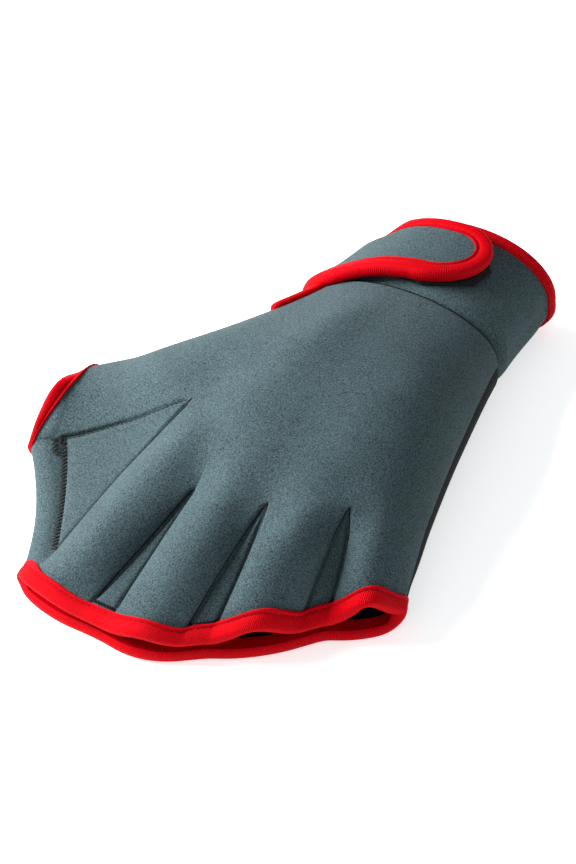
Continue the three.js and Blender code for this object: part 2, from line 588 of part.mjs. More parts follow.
// Strap tape: along the lower edge, round the tip and back along the upper edge
const rim = [
  ...strapSteps.map((s) => ({ s, y: strapSpan(s)[0] })),
  ...[...strapSteps].reverse().map((s) => ({ s, y: strapSpan(s)[1] })),
];
const strapStations = rim.map((at, i) => {
  const before = rim[Math.max(i - 1, 0)];
  const after = rim[Math.min(i + 1, rim.length - 1)];
  const length = Math.hypot(after.s - before.s, after.y - before.y);
  const inward = { s: -(after.y - before.y) / length, y: (after.s - before.s) / length };
  return {
    edge: strapAt(at.s, at.y),
    far: strapAt(at.s + inward.s * TAPE_WIDTH, at.y + inward.y * TAPE_WIDTH),
    inner: TAPE_CORNER,
  };
});
add('strap_binding', tape(strapStations.reverse(), false), RED);

// Fastening patch under the tip of the strap
const patchGrid = [0, 0.25, 0.5, 0.75, 1].map((t) => [0, 0.2, 0.4, 0.6, 0.8, 1].map((u) => onWrist(
  mix(PATCH.from, PATCH.to, u), mix(PATCH.upper, PATCH.lower, t), PATCH.off, PATCH.thick)));
add('fastener_patch', sheet(patchGrid), HOOKS);

// Bound edge of the wrist slit, a short run of tape standing on the thumb side of the back
const slitPoints = SLIT_TAPE.rows.flatMap((v) => {
  const at = (station, off) => wristPoint(station, SLIT_TAPE.share + SLIT_TAPE.slope * station + off, true).p;
  const place = at(v, 0);
  const run = at(v + 0.01, 0).sub(place).normalize();
  const round = at(v, 0.004).sub(place);
  const n = run.clone().cross(round).normalize();
  const side = n.clone().cross(run).normalize();
  const centre = place.addScaledVector(n, GAP + SLIT_TAPE.stand / 2);
  const ring = [[-0.5, -1], [0.5, -1], [1, -0.6], [1, 0.6], [0.5, 1], [-0.5, 1], [-1, 0.6], [-1, -0.6]];
  return ring.map(([a, b]) => centre.clone().addScaledVector(side, a * SLIT_TAPE.width / 2)
    .addScaledVector(n, b * SLIT_TAPE.stand / 2));
});
add('slit_binding', sweep(slitPoints, 8, false), RED);

export default group;
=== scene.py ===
"""Swim glove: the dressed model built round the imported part.

A left-hand webbed glove of soft rubber cloth, lying palm down and filled out. Tables are in
millimetres in the plan the glove was cut on; meshes are put down in metres in the part's own frame.
"""

from __future__ import annotations

import json
import logging
import math
from dataclasses import dataclass, field
from enum import Enum
from typing import Optional, Sequence, Union

import bpy
import numpy as np
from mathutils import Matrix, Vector

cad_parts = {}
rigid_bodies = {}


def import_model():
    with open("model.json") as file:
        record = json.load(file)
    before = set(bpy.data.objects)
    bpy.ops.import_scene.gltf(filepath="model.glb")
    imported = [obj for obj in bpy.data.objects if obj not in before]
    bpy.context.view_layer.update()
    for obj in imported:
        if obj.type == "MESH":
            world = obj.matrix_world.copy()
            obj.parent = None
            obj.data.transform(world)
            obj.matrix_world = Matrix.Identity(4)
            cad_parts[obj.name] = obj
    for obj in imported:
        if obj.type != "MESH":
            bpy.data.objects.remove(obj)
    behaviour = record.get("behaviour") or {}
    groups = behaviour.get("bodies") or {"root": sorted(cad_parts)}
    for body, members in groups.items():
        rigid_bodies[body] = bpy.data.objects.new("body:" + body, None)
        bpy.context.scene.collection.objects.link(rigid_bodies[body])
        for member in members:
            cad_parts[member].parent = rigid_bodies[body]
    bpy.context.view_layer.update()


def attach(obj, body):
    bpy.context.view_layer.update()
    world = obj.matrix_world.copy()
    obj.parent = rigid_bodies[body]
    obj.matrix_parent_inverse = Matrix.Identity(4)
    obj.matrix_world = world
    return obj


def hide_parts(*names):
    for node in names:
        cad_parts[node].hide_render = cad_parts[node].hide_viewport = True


LOG = logging.getLogger("swim_glove")
Array = np.ndarray
MILLIMETRE = 0.001
PLAN_CENTRE = np.array([-9.917, 7.613, 0.0])
GAP = 0.35  # space between the cloth and the tape on it
SLACK = 0.03  # distance from a closed edge that still counts as on it


def mix(a: Array, b: Array, t: Array) -> Array:
    """Straight line from a at t = 0 to b at t = 1."""
    return a + (b - a) * t


def smooth(x: Array) -> Array:
    """Eased step: 3x squared less 2x cubed, held at 0 and 1 outside."""
    c = np.clip(x, 0.0, 1.0)
    return c * c * (3 - 2 * c)


def fade(x: Array, start: float, over: float) -> Array:
    """Eased step from 0 at start to 1 at start + over."""
    return smooth((x - start) / over)


def quarter(x: Array) -> Array:
    """Quarter circle: rises upright from 0 at x = 0 and is level at 1 from x = 1."""
    return np.sqrt(np.clip(1 - (1 - np.clip(x, 0.0, 1.0)) ** 2, 0.0, 1.0))


def unit(vectors: Array) -> Array:
    """Vectors scaled to length one."""
    return vectors / np.maximum(np.linalg.norm(vectors, axis=-1, keepdims=True), 1e-9)


def along(points: Array, axis: int = 0) -> Array:
    """Length travelled along lines of points.

    Args:
        points: Lines of points, coordinates on the last axis.
        axis: Axis that runs along each line.

    Returns:
        Distance from each line's first point, in the shape of points without its last axis.
    """
    steps = np.linalg.norm(np.diff(points, axis=axis), axis=-1)
    start = np.zeros_like(np.take(steps, [0], axis=axis))
    return np.concatenate([start, np.cumsum(steps, axis=axis)], axis=axis)


def split(start: float, stop: float, count: int, ease: float = 1.0) -> Array:
    """Stations from start to stop, closer together toward stop when ease is above 1."""
    return stop - (stop - start) * (1 - np.linspace(0, 1, count)) ** ease


def columns(count: int) -> Array:
    """Shares of a row, closer together at both ends as a cosine."""
    return (1 - np.cos(np.pi * np.linspace(0, 1, count))) / 2


def halves(g: Array) -> Array:
    """Two triangles for each square of a grid of point numbers."""
    a, b, c, d = g[:-1, :-1], g[1:, :-1], g[1:, 1:], g[:-1, 1:]
    return np.concatenate([np.stack(ends, -1).reshape(-1, 3) for ends in ((a, b, c), (a, c, d))])


@dataclass(frozen=True)
class Course:
    """A smooth curve through the rows of a short table."""

    stations: tuple[float, ...]
    values: tuple[tuple[float, ...], ...]

    def at(self, v: Union[Array, float]) -> Array:
        """Values of the curve.

        A cubic runs between each pair of rows. Its slope at a row is that of the straight line between
        the rows on either side.

        Args:
            v: Stations to read.

        Returns:
            The shape of v with one more axis for the table's values.
        """
        x, y = np.asarray(self.stations, float), np.asarray(self.values, float)
        last = len(x) - 1
        low = np.maximum(np.arange(last + 1) - 1, 0)
        high = np.minimum(np.arange(last + 1) + 1, last)
        slope = (y[high] - y[low]) / (x[high] - x[low])[:, None]
        v = np.asarray(v, float)
        i = np.clip(np.searchsorted(x, v, side="right") - 1, 0, last - 1)
        h = (x[i + 1] - x[i])[..., None]
        t = (v - x[i])[..., None] / h
        return (
            (2 * t**3 - 3 * t**2 + 1) * y[i]
            + (t**3 - 2 * t**2 + t) * h * slope[i]
            + (3 * t**2 - 2 * t**3) * y[i + 1]
            + (t**3 - t**2) * h * slope[i + 1]
        )

    def one(self, v: Union[Array, float]) -> Array:
        """The first value of the curve at v, without the extra axis."""
        return self.at(v)[..., 0]


@dataclass(frozen=True)
class Ribbon:
    """One finger's strip of the back: its share of the hand's width, the height of its ridge at the
    root, half way and at the mouth, and how far its mouth is bowed."""

    start: float
    end: float
    root: float
    half: float
    mouth: float
    sag: float

    def ridge(self) -> Course:
        """Height of the ridge over the web panels from the wrist to the mouth."""
        return Course((0, 0.6, 1, 1.5, 2), ((0,), (0,), (self.root,), (self.half,), (self.mouth,)))


@dataclass(frozen=True)
class Web:
    """One web panel: where its two seams part, their plan courses, and the hollow of its free edge."""

    name: str
    tip: Optional[tuple[float, float, float]]
    sag: float
    thumbward: tuple[tuple[float, float, float], ...]
    littleward: tuple[tuple[float, float, float], ...]

    @property
    def start(self) -> float:
        """Station where the panel begins."""
        return self.tip[0] if self.tip else 1.0


class Side(Enum):
    """The two seams of a web panel."""

    THUMBWARD = "thumbward"
    LITTLEWARD = "littleward"


class Face(Enum):
    """The two skins of the hand."""

    BACK = "back"
    PALM = "palm"


@dataclass(frozen=True)
class Pull:
    """A place where the cloth is drawn aside, fading as a bell of the distance over width."""

    place: tuple[float, float]
    width: float
    shift: tuple[float, float]


@dataclass(frozen=True)
class HandPlan:
    """The hand's outline and heights. Stations: cuff end -1, wrist seam 0, finger roots 1, mouths 2."""

    thumb_edge: Course = Course(
        (-1, 0, 0.5, 1, 1.5, 2),
        ((-14, 109, 16), (-26, 69.5, 16), (-42.5, 40, 15), (-62, 18.2, 15), (-74.5, 7.5, 15), (-85, 0, 15)),
    )
    little_edge: Course = Course(
        (-1, 0, 0.5, 1, 1.5, 2),
        ((53.2, 114, 16), (50.4, 70.5, 18), (54.0, 30, 17.5), (58.8, -5, 16.5), (62.8, -26, 13.5),
         (66.4, -42.5, 9.5)),
    )
    # crown, bow toward the fingers, reach of the rounding at the thumb side and the little-finger side
    profile: Course = Course(
        (-1, 0, 0.5, 1, 1.5, 2),
        ((39.8, -0.5, 34, 33), (41, 1, 36, 36), (46, 17, 36, 34), (38, 40, 30, 34), (24, 40, 24, 22),
         (9.8, 40, 22, 13)),
    )
    thumb_outer: Course = Course((-1, 0, 0.5, 1, 1.5, 2), ((40.5,), (41,), (44,), (36,), (24,), (16,)))
    thumb_inner: Course = Course((0.5, 1, 1.4, 1.75, 2), ((46,), (38,), (25,), (15,), (13,)))
    index_inner: Course = Course((0.5, 1, 1.4, 1.75, 2), ((46,), (38,), (24,), (13,), (9.8,)))
    # thumb, index, middle, ring and little finger
    ribbons: tuple[Ribbon, ...] = (
        Ribbon(0, 0.235, 0, 4, 12, 0),
        Ribbon(0.235, 0.4, 1, 8, 1, 3.4),
        Ribbon(0.4, 0.605, 1.5, 9, 3.5, 2.8),
        Ribbon(0.605, 0.803, 1.5, 9, 6, 1.6),
        Ribbon(0.803, 1, 1.5, 8, 10, 2),
    )
    webs: tuple[Web, ...] = (
        Web("thumb_web", None, 3.7,
            ((1.4, -54, -24), (1.75, -75.2, -34.3), (2, -86, -40)),
            ((1.4, -42.5, -41), (1.75, -51.8, -78.2), (2, -61, -84))),
        Web("index_web", (1.25, -13.4, -43.3), 0,
            ((1.6, -20.5, -66.5), (2, -30.5, -93.7)), ((1.6, -16.2, -68), (2, -21, -94))),
        Web("middle_web", (1.1, 13.1, -40.3), 0,
            ((1.5, 9.3, -62), (2, 5, -89)), ((1.5, 14.6, -61), (2, 13.5, -83.3))),
        Web("ring_web", (1.08, 38.6, -29.4), 0,
            ((1.5, 37.8, -46), (2, 38.6, -66.6)), ((1.5, 42.8, -41.4), (2, 45.6, -59.2))),
    )
    web_edge_height: tuple[float, float] = (9.0, 5.6)
    web_round: float = 7.0
    web_round_under: float = 6.0
    under_round: float = 13.0
    little_under: float = 8.0
    palm_bulge: float = 1.0
    palm_bulge_width: float = 5.0
    # pairs for fade, along the hand in stations: where the bulge ends, where the mouth's pull starts
    # and, across the plan, where it ends
    bulge_ends: tuple[float, float] = (1.2, 0.6)
    mouth_pull: tuple[float, float] = (0.8, -1.5)
    pull_starts: tuple[float, float] = (1.5, 0.5)
    pull_ends: tuple[float, float] = (5.0, 45.0)
    pulls: tuple[Pull, ...] = (
        Pull((-61.0, -84.0), 13.0, (1.7, -3.2)), Pull((-33.6, -16.0), 14.0, (1.2, 3.2)),
        Pull((-86.0, -40.0), 12.0, (-1.6, 3.2)))
    cloth: float = 2.5
    edge_cloth: float = 1.6
    edge_blend: float = 9.0
    index_blend: float = 0.6
    ridge_crisp: float = 0.7
    ridge_held: float = 0.7  # how much of its steepness a ridge loses under the tape of the mouth
    # pairs for fade: where a ridge grows steep, where the tape holds it, and where the lean starts and ends
    ridge_steepens: tuple[float, float] = (1.0, 0.5)
    ridge_softens: tuple[float, float] = (1.8, 0.16)
    lean: float = 5.0
    lean_place: float = 0.31
    lean_width: float = 0.15
    lean_starts: tuple[float, float] = (0.0, 0.4)
    lean_ends: tuple[float, float] = (0.75, 0.35)
    rest: float = 1.55  # lift of the cloth where tape lies under it
    rest_mouth: tuple[float, float] = (1.45, 0.27)  # where it is lifted toward the mouths
    rest_cuff: tuple[float, float] = (0.72, 0.12)  # and, in stations turned round, toward the cuff's end

    def trunk(self, v: Array, across: Array) -> Array:
        """Plan of the hand up to the finger roots: rows from edge to edge, bowed as 4t(1 - t).

        Args:
            v: Stations.
            across: Shares of the hand's width from its thumb edge.

        Returns:
            Plan points.
        """
        share = np.asarray(across)[..., None]
        row = mix(self.thumb_edge.at(v)[..., :2], self.little_edge.at(v)[..., :2], share)
        bow = self.profile.at(v)[..., 1] * 4 * across * (1 - across)
        return row - np.stack([np.zeros_like(bow), bow], -1)

    def seam(self, index: int, side: Side, v: Array) -> Array:
        """Plan of one seam of a web beyond the finger roots: straight to the tip, then its own course.

        Args:
            index: Number of the web.
            side: Which of its two seams.
            v: Stations from the finger roots on.

        Returns:
            Plan points.
        """
        web = self.webs[index]
        root = self.trunk(np.array(1.0), np.array(self.ribbons[index].end))
        tip = np.array(web.tip[1:]) if web.tip else root
        rows = web.thumbward if side is Side.THUMBWARD else web.littleward
        course = Course((web.start, *(r[0] for r in rows)), (tuple(tip), *(r[1:] for r in rows)))
        reach = np.clip((v - 1) / max(web.start - 1, 1e-9), 0, 1)[..., None] if web.tip else 0.0
        ahead = course.at(np.maximum(v, web.start))
        return np.where((v <= web.start)[..., None], mix(root, tip, reach), ahead)

    @staticmethod
    def between(a: Array, b: Array, t: Array, sag: Array) -> Array:
        """Points from a to b, pushed toward the fingers by sag times 4t(1 - t).

        Args:
            a: Plan points at t = 0.
            b: Plan points at t = 1.
            t: Shares of the way.
            sag: Push half way.

        Returns:
            Plan points.
        """
        d = b - a
        push = sag * 4 * t * (1 - t) / np.maximum(np.linalg.norm(d, axis=-1), 1e-9)
        return mix(a, b, t[..., None]) + np.stack([d[..., 1] * push, -d[..., 0] * push], -1)

    def ribbon_plan(self, k: int, v: Array, q: Array) -> Array:
        """Plan of one finger's strip.

        Args:
            k: Number of the finger.
            v: Stations.
            q: Shares of the strip's width.

        Returns:
            Plan points.
        """
        ribbon = self.ribbons[k]
        trunk = self.trunk(np.minimum(v, 1), mix(ribbon.start, ribbon.end, q))
        w = np.maximum(v, 1)
        left = self.seam(k - 1, Side.LITTLEWARD, w) if k > 0 else self.thumb_edge.at(w)[..., :2]
        right = self.seam(k, Side.THUMBWARD, w) if k < 4 else self.little_edge.at(w)[..., :2]
        root_sag = self.profile.at(1.0)[..., 1] * (ribbon.end - ribbon.start) ** 2
        fan = self.between(left, right, q, mix(root_sag, ribbon.sag, w - 1))
        return np.where((v <= 1)[..., None], trunk, fan)

    def web_plan(self, k: int, v: Array, s: Array) -> Array:
        """Plan of one web.

        Args:
            k: Number of the web.
            v: Stations.
            s: Shares of its width.

        Returns:
            Plan points.
        """
        w = np.maximum(v, 1)
        return self.between(self.seam(k, Side.THUMBWARD, w), self.seam(k, Side.LITTLEWARD, w), s,
                            -self.webs[k].sag * (w - 1) ** 4)

    def edges(self) -> tuple[Array, Array, Array]:
        """The closed edges where back and palm meet.

        Returns:
            Points of the thumb side, of the thumb web's free edge and of the little-finger side.
        """
        run = np.linspace(-1, 2, 181)
        share = np.linspace(0, 1, 61)
        rim = self.web_plan(0, np.full_like(share, 2.0), share)
        height = mix(*self.web_edge_height, share)
        return self.thumb_edge.at(run), np.column_stack([rim, height]), self.little_edge.at(run)

    @staticmethod
    def nearest(edge: Array, plan: Array) -> tuple[Array, Array]:
        """Plan distance from points to an edge, and the edge's height there.

        Args:
            edge: Points of the edge, with heights.
            plan: Plan points.

        Returns:
            Distances and heights, each in the shape of plan without its last axis.
        """
        flat = plan.reshape(-1, 1, 2)
        a, d = edge[None, :-1, :2], np.diff(edge[:, :2], axis=0)[None]
        t = np.clip(((flat - a) * d).sum(-1) / (d**2).sum(-1), 0, 1)
        gap = np.linalg.norm(flat - a - d * t[..., None], axis=-1)
        best = gap.argmin(1)
        pick = np.arange(len(best))
        height = mix(edge[best, 2], edge[best + 1, 2], t[pick, best])
        shape = plan.shape[:-1]
        return np.maximum(gap[pick, best] - SLACK, 0).reshape(shape), height.reshape(shape)

    def floor(self, v: Array) -> Array:
        """Height of the palm: on the table, lifted where tape lies under the cloth."""
        return self.rest * (fade(v, *self.rest_mouth) + fade(-v, *self.rest_cuff))

    def skin(self, plan: Array, v: Array, crown: Array, face: Face) -> tuple[Array, Array]:
        """The skin over plan points.

        The height goes from the side seam's to the crown or the floor as the product of quarter circles
        of the distances to the three closed edges. The seam's height is the mean of the three edges'
        weighted by one over the distance squared.

        Args:
            plan: Plan points.
            v: Stations of the points.
            crown: Height of the back there.
            face: Back or palm.

        Returns:
            Points of the skin, and the cloth's thickness at each.
        """
        found = [self.nearest(edge, plan) for edge in self.edges()]
        weights = [1 / (d * d + 1e-6) for d, _ in found]
        seam = sum(w * z for w, (_, z) in zip(weights, found)) / sum(weights)
        (thumb, _), (web, _), (little, _) = found
        if face is Face.BACK:
            sides = self.profile.at(v)
            rise = (quarter(thumb / sides[..., 2]) * quarter(web / self.web_round)
                    * quarter(little / sides[..., 3]))
            target = crown
        else:
            rise = (quarter(thumb / self.under_round) * quarter(web / self.web_round_under)
                    * quarter(little / self.little_under))
            target = self.floor(v)
            bell = np.exp(-((little / self.palm_bulge_width) ** 2))
            swell = (self.palm_bulge * np.sin(np.pi * np.clip(rise, 0, 1)) * bell
                     * (1 - fade(v, *self.bulge_ends)))
            plan = plan + np.stack([swell, 0 * swell], -1)
        plan = plan + self.drawn(plan, v)
        thick = mix(self.edge_cloth, self.cloth, smooth(web / self.edge_blend))
        return np.concatenate([plan, mix(seam, target, rise)[..., None]], -1), thick

    def drawn(self, plan: Array, v: Array) -> Array:
        """How far the cloth is drawn along the plan: toward the finger mouth, and round each pull.

        Args:
            plan: Plan points.
            v: Stations of the points.

        Returns:
            Plan shifts.
        """
        strength = fade(v, *self.pull_starts) * (1 - fade(plan[..., 0], *self.pull_ends))
        shift = strength[..., None] * np.array(self.mouth_pull)
        for pull in self.pulls:
            off = np.linalg.norm(plan - np.array(pull.place), axis=-1) / pull.width
            shift = shift + np.exp(-(off**2))[..., None] * np.array(pull.shift)
        return shift

    def ribbon_crown(self, k: int, v: Array, q: Array) -> Array:
        """Height of one finger's back: the hand's crown and the finger's ridge, steep at its seams but
        soft again where the tape holds it at the mouth.

        Args:
            k: Number of the finger.
            v: Stations.
            q: Shares of the strip's width.

        Returns:
            Heights.
        """
        crown = self.profile.one(v)
        base = crown
        if k == 0:
            inner = np.where(v > 1, self.thumb_inner.one(np.maximum(v, 1)), crown)
            base = mix(self.thumb_outer.one(v), inner, q)
        if k == 1:
            web_side = np.where(v > 1, self.index_inner.one(np.maximum(v, 1)), crown)
            base = mix(web_side, crown, smooth(q / self.index_blend))
        held = q
        if k == 0:
            held = np.maximum(q, 0.5)
        if k == 4:
            held = np.minimum(q, 0.5)
        soft = (1 - np.cos(2 * np.pi * q)) / 2
        crisp = np.clip(4 * held * (1 - held), 0, 1) ** self.ridge_crisp
        steep = fade(v, *self.ridge_steepens) * (1 - self.ridge_held * fade(v, *self.ridge_softens))
        ridge = self.ribbons[k].ridge().one(np.maximum(v, 0))
        return base + self.leaning(k, v, q) + ridge * mix(soft, crisp, steep)

    def leaning(self, k: int, v: Array, q: Array) -> Array:
        """Rise of the back from its thumb side to its middle, between the wrist and the knuckles.

        It is x times the bell curve of x, x being the distance from lean_place over lean_width, so the
        back is a little lower thumbward of that place and a little higher beyond it.

        Args:
            k: Number of the finger.
            v: Stations.
            q: Shares of the strip's width.

        Returns:
            Heights to add.
        """
        off = (mix(self.ribbons[k].start, self.ribbons[k].end, q) - self.lean_place) / self.lean_width
        leaning = self.lean * off * np.exp(-(off**2))
        return leaning * fade(v, *self.lean_starts) * (1 - fade(v, *self.lean_ends))

    def ribbon(self, k: int, v: Array, q: Array, face: Face) -> tuple[Array, Array]:
        """Skin of finger k's strip and the cloth's thickness."""
        v, q = np.broadcast_arrays(v, q)
        return self.skin(self.ribbon_plan(k, v, q), v, self.ribbon_crown(k, v, q), face)

    def web(self, k: int, v: Array, s: Array, face: Face) -> tuple[Array, Array]:
        """Skin of one web.

        Args:
            k: Number of the web.
            v: Stations.
            s: Shares of its width.
            face: Back or palm.

        Returns:
            Points, and the cloth's thickness at each.
        """
        v, s = np.broadcast_arrays(v, s)
        crown = self.profile.one(v)
        if k == 0:
            crown = mix(self.thumb_inner.one(v), self.index_inner.one(v), s)
        return self.skin(self.web_plan(k, v, s), v, crown, face)

    def wrist(self, v: Array, across: Array, face: Face) -> tuple[Array, Array]:
        """Skin of the cuff: rows from the thumb edge to the little-finger edge.

        Args:
            v: Stations.
            across: Shares of the wrist's width.
            face: Back or palm.

        Returns:
            Points, and the cloth's thickness at each.
        """
        v, across = np.broadcast_arrays(v, across)
        crown = self.profile.one(v)
        first = self.ribbons[0]
        q = np.clip(across / first.end, 0, 1)
        base = np.where(across < first.end, mix(self.thumb_outer.one(v), crown, q), crown)
        return self.skin(self.trunk(v, across), v, base, face)


@dataclass
class Patch:
    """A grid of skin points with its stations, cloth thickness and how deep a seam pulls each point in."""

    rows: Array
    columns: Array
    points: Array
    thick: Array
    crease: Array
    face: Face
    ids: Array = field(default_factory=lambda: np.zeros(0, int))
    normals: Array = field(default_factory=lambda: np.zeros(0))

    def triangles(self, first: int = 0, last: Optional[int] = None) -> Array:
        """Triangles between the points, facing out, without those that have no width.

        Args:
            first: First row taken.
            last: Row before which to stop, or none for all.

        Returns:
            Numbers of the skin's points, three for each triangle.
        """
        faces = halves(self.ids[first:last])
        if self.face is Face.PALM:
            faces = faces[:, ::-1]
        whole = (faces[:, 0] != faces[:, 1]) & (faces[:, 1] != faces[:, 2]) & (faces[:, 0] != faces[:, 2])
        return faces[whole]

    def sample(self, v: Array, q: Array) -> tuple[Array, Array, Array]:
        """The patch between its grid points, along straight lines.

        Args:
            v: Stations.
            q: Shares of the width.

        Returns:
            Points, normals and the cloth's thickness.
        """
        v, q = np.broadcast_arrays(np.asarray(v, float), np.asarray(q, float))
        i = np.clip(np.searchsorted(self.rows, v, side="right") - 1, 0, len(self.rows) - 2)
        j = np.clip(np.searchsorted(self.columns, q, side="right") - 1, 0, len(self.columns) - 2)
        a = (v - self.rows[i]) / (self.rows[i + 1] - self.rows[i])
        b = (q - self.columns[j]) / (self.columns[j + 1] - self.columns[j])

        def read(grid: Array) -> Array:
            """One field of the patch at the places asked for."""
            s, t = (a[..., None], b[..., None]) if grid.ndim == 3 else (a, b)
            return mix(mix(grid[i, j], grid[i, j + 1], t), mix(grid[i + 1, j], grid[i + 1, j + 1], t), s)

        return read(self.points), unit(read(self.normals)), read(self.thick)


class Skin:
    """Patches welded along their shared borders, so that every piece cut from them has the same normals."""

    def __init__(self) -> None:
        """Starts with no patches."""
        self.patches: list[Patch] = []
        self.points = np.zeros((0, 3))
        self.normals = np.zeros((0, 3))
        self.thick = np.zeros(0)

    def add(self, patch: Patch) -> Patch:
        """Takes a patch in and hands it back."""
        self.patches.append(patch)
        return patch

    def weld(self, level: Sequence[tuple[Patch, tuple]]) -> None:
        """Joins points that lie within a thousandth of a millimetre, levels the normals along the side
        seams, and sinks each point along its normal by its crease.

        Args:
            level: Patches with the index of the border whose normals lie level.
        """
        every = np.concatenate([p.points.reshape(-1, 3) for p in self.patches])
        _, first, inverse = np.unique(np.round(every * 1000).astype(np.int64), axis=0,
                                      return_index=True, return_inverse=True)
        inverse = inverse.reshape(-1)
        self.points = every[first]
        self.thick = np.concatenate([p.thick.ravel() for p in self.patches])[first]
        start = 0
        for patch in self.patches:
            patch.ids = inverse[start:start + patch.thick.size].reshape(patch.thick.shape)
            start += patch.thick.size
        sides = np.unique(np.concatenate([patch.ids[border].ravel() for patch, border in level]))
        crease = np.zeros(len(self.points))
        np.maximum.at(crease, inverse, np.concatenate([p.crease.ravel() for p in self.patches]))
        self._turn(sides)
        self.points = self.points - self.normals * crease[:, None]
        self._turn(sides)
        for patch in self.patches:
            patch.points, patch.normals = self.points[patch.ids], self.normals[patch.ids]

    def _turn(self, sides: Array) -> None:
        """Sets the normals: the sum of the cross products of the triangles round each point.

        Args:
            sides: Points of the side seams, whose normals lie level.
        """
        faces = np.concatenate([p.triangles() for p in self.patches])
        a, b, c = (self.points[faces[:, k]] for k in range(3))
        cross = np.cross(b - a, c - a)
        self.normals = np.zeros_like(self.points)
        for k in range(3):
            np.add.at(self.normals, faces[:, k], cross)
        self.normals[sides, 2] = 0
        self.normals = unit(self.normals)


def creases(points: Array, left: Array, right: Array, depth: float, width: float) -> Array:
    """How deep the seams at the two ends of each row pull the cloth in: depth times the bell curve of
    the distance along the row over width.

    Args:
        points: Grid of points.
        left: Strength of the seam at the start of each row.
        right: Strength at its end.
        depth: Depth at the seam.
        width: Width of the bell.

    Returns:
        Depths on the grid.
    """
    run = along(points, 1)
    back = run[:, -1:] - run
    return depth * np.maximum(left[:, None] * np.exp(-((run / width) ** 2)),
                              right[:, None] * np.exp(-((back / width) ** 2)))


def put_down(name: str, points: Array, faces: Array, finish: bpy.types.Material,
             uv: Optional[Array] = None, inside: Optional[Array] = None,
             sharp: float = 50.0) -> bpy.types.Object:
    """Makes an object at the origin from points on the plan.

    Args:
        name: Name of the piece.
        points: Points in millimetres on the plan.
        faces: Corners of the faces, three or four each.
        finish: Its material.
        uv: A pair for each corner, if a pattern follows the piece.
        inside: 1 on points of the lining and 0 on the outside.
        sharp: Edges that turn by more degrees than this stay sharp.

    Returns:
        The object.
    """
    mesh = bpy.data.meshes.new(name)
    mesh.from_pydata(((points - PLAN_CENTRE) * MILLIMETRE).tolist(), [], faces.tolist())
    if uv is not None:
        layer = mesh.uv_layers.new(name="run")
        layer.data.foreach_set("uv", uv.astype(np.float32).ravel())
    if inside is not None:
        lining = mesh.attributes.new("inside", "FLOAT", "POINT")
        lining.data.foreach_set("value", inside.astype(np.float32))
    mesh.polygons.foreach_set("use_smooth", np.ones(len(faces), bool))
    mesh.set_sharp_from_angle(angle=math.radians(sharp))
    mesh.materials.append(finish)
    mesh.update()
    piece = bpy.data.objects.new(name, mesh)
    bpy.context.scene.collection.objects.link(piece)
    return piece


def facing_out(points: Array, faces: Array) -> Array:
    """Faces of a closed body in the order that points them outward, told by the sign of its volume.

    Args:
        points: Points of the body.
        faces: Its triangles or quads.

    Returns:
        The faces as given, or all turned round.
    """
    centre = points.mean(0)
    a, b, c = (points[faces[:, k]] - centre for k in range(3))
    volume = np.einsum("ij,ij->i", a, np.cross(b, c)).sum()
    if faces.shape[1] == 4:
        d = points[faces[:, 3]] - centre
        volume += np.einsum("ij,ij->i", a, np.cross(c, d)).sum()
    return faces if volume > 0 else faces[:, ::-1]


def thicken(points: Array, normals: Array, thick: Array, faces: Array) -> tuple[Array, Array, Array]:
    """A closed panel from an outer skin: the skin, the same set in along its normals, and the cut edges.

    Args:
        points: Points of the skin.
        normals: Normal at each.
        thick: Thickness of the cloth at each.
        faces: Triangles of the skin.

    Returns:
        Points, triangles, and 1 for each point of the inner skin.
    """
    used, corners = np.unique(faces, return_inverse=True)
    faces = corners.reshape(faces.shape)
    outer = points[used]
    inner = outer - normals[used] * thick[used][:, None]
    count = len(used)
    edges = np.concatenate([faces[:, [0, 1]], faces[:, [1, 2]], faces[:, [2, 0]]])
    codes = edges[:, 0] * count + edges[:, 1]
    u, w = edges[~np.isin(codes, edges[:, 1] * count + edges[:, 0])].T
    walls = np.concatenate([np.stack([w, u, u + count], -1), np.stack([w, u + count, w + count], -1)])
    every = np.concatenate([faces, faces[:, ::-1] + count, walls])
    return np.concatenate([outer, inner]), every, np.repeat([0.0, 1.0], count)


def sheet(points: Array, normals: Array, thick: Union[Array, float]) -> tuple[Array, Array, Array]:
    """A closed panel from a grid of outer points.

    Args:
        points: Grid of points.
        normals: Normals there.
        thick: Thickness there, or one for all.

    Returns:
        Points, triangles, and 1 for each point of the lining.
    """
    rows, width = points.shape[:2]
    faces = halves(np.arange(rows * width).reshape(rows, width))
    flat = np.broadcast_to(thick, (rows, width)).ravel()
    pts, every, inside = thicken(points.reshape(-1, 3), normals.reshape(-1, 3), flat, faces)
    return pts, facing_out(pts, every), inside


def grid_normals(points: Array, outward: Array) -> Array:
    """Normals of a grid: the cross product of its two slopes, on the side that outward points to."""
    n = unit(np.cross(np.gradient(points, axis=0), np.gradient(points, axis=1)))
    return n * np.sign((n * outward).sum(-1, keepdims=True) + 1e-12)


def walk(lines: Array, normals: Array, distances: Array) -> tuple[Array, Array]:
    """Places at given distances along lines of points.

    Args:
        lines: Points, along the line on the first axis and line by line on the second.
        normals: Normals at the points.
        distances: For each line, the distances wanted.

    Returns:
        Points and normals, line by line on the first axis and distance on the second.
    """
    run = along(lines, 0)
    upper = np.clip((run[:, :, None] < distances[None]).sum(0), 1, len(lines) - 1)
    lower = upper - 1
    who = np.arange(lines.shape[1])[:, None]
    t = (distances - run[lower, who]) / np.maximum(run[upper, who] - run[lower, who], 1e-9)
    t = t[..., None]
    place = mix(lines[lower, who], lines[upper, who], t)
    return place, unit(mix(normals[lower, who], normals[upper, who], t))


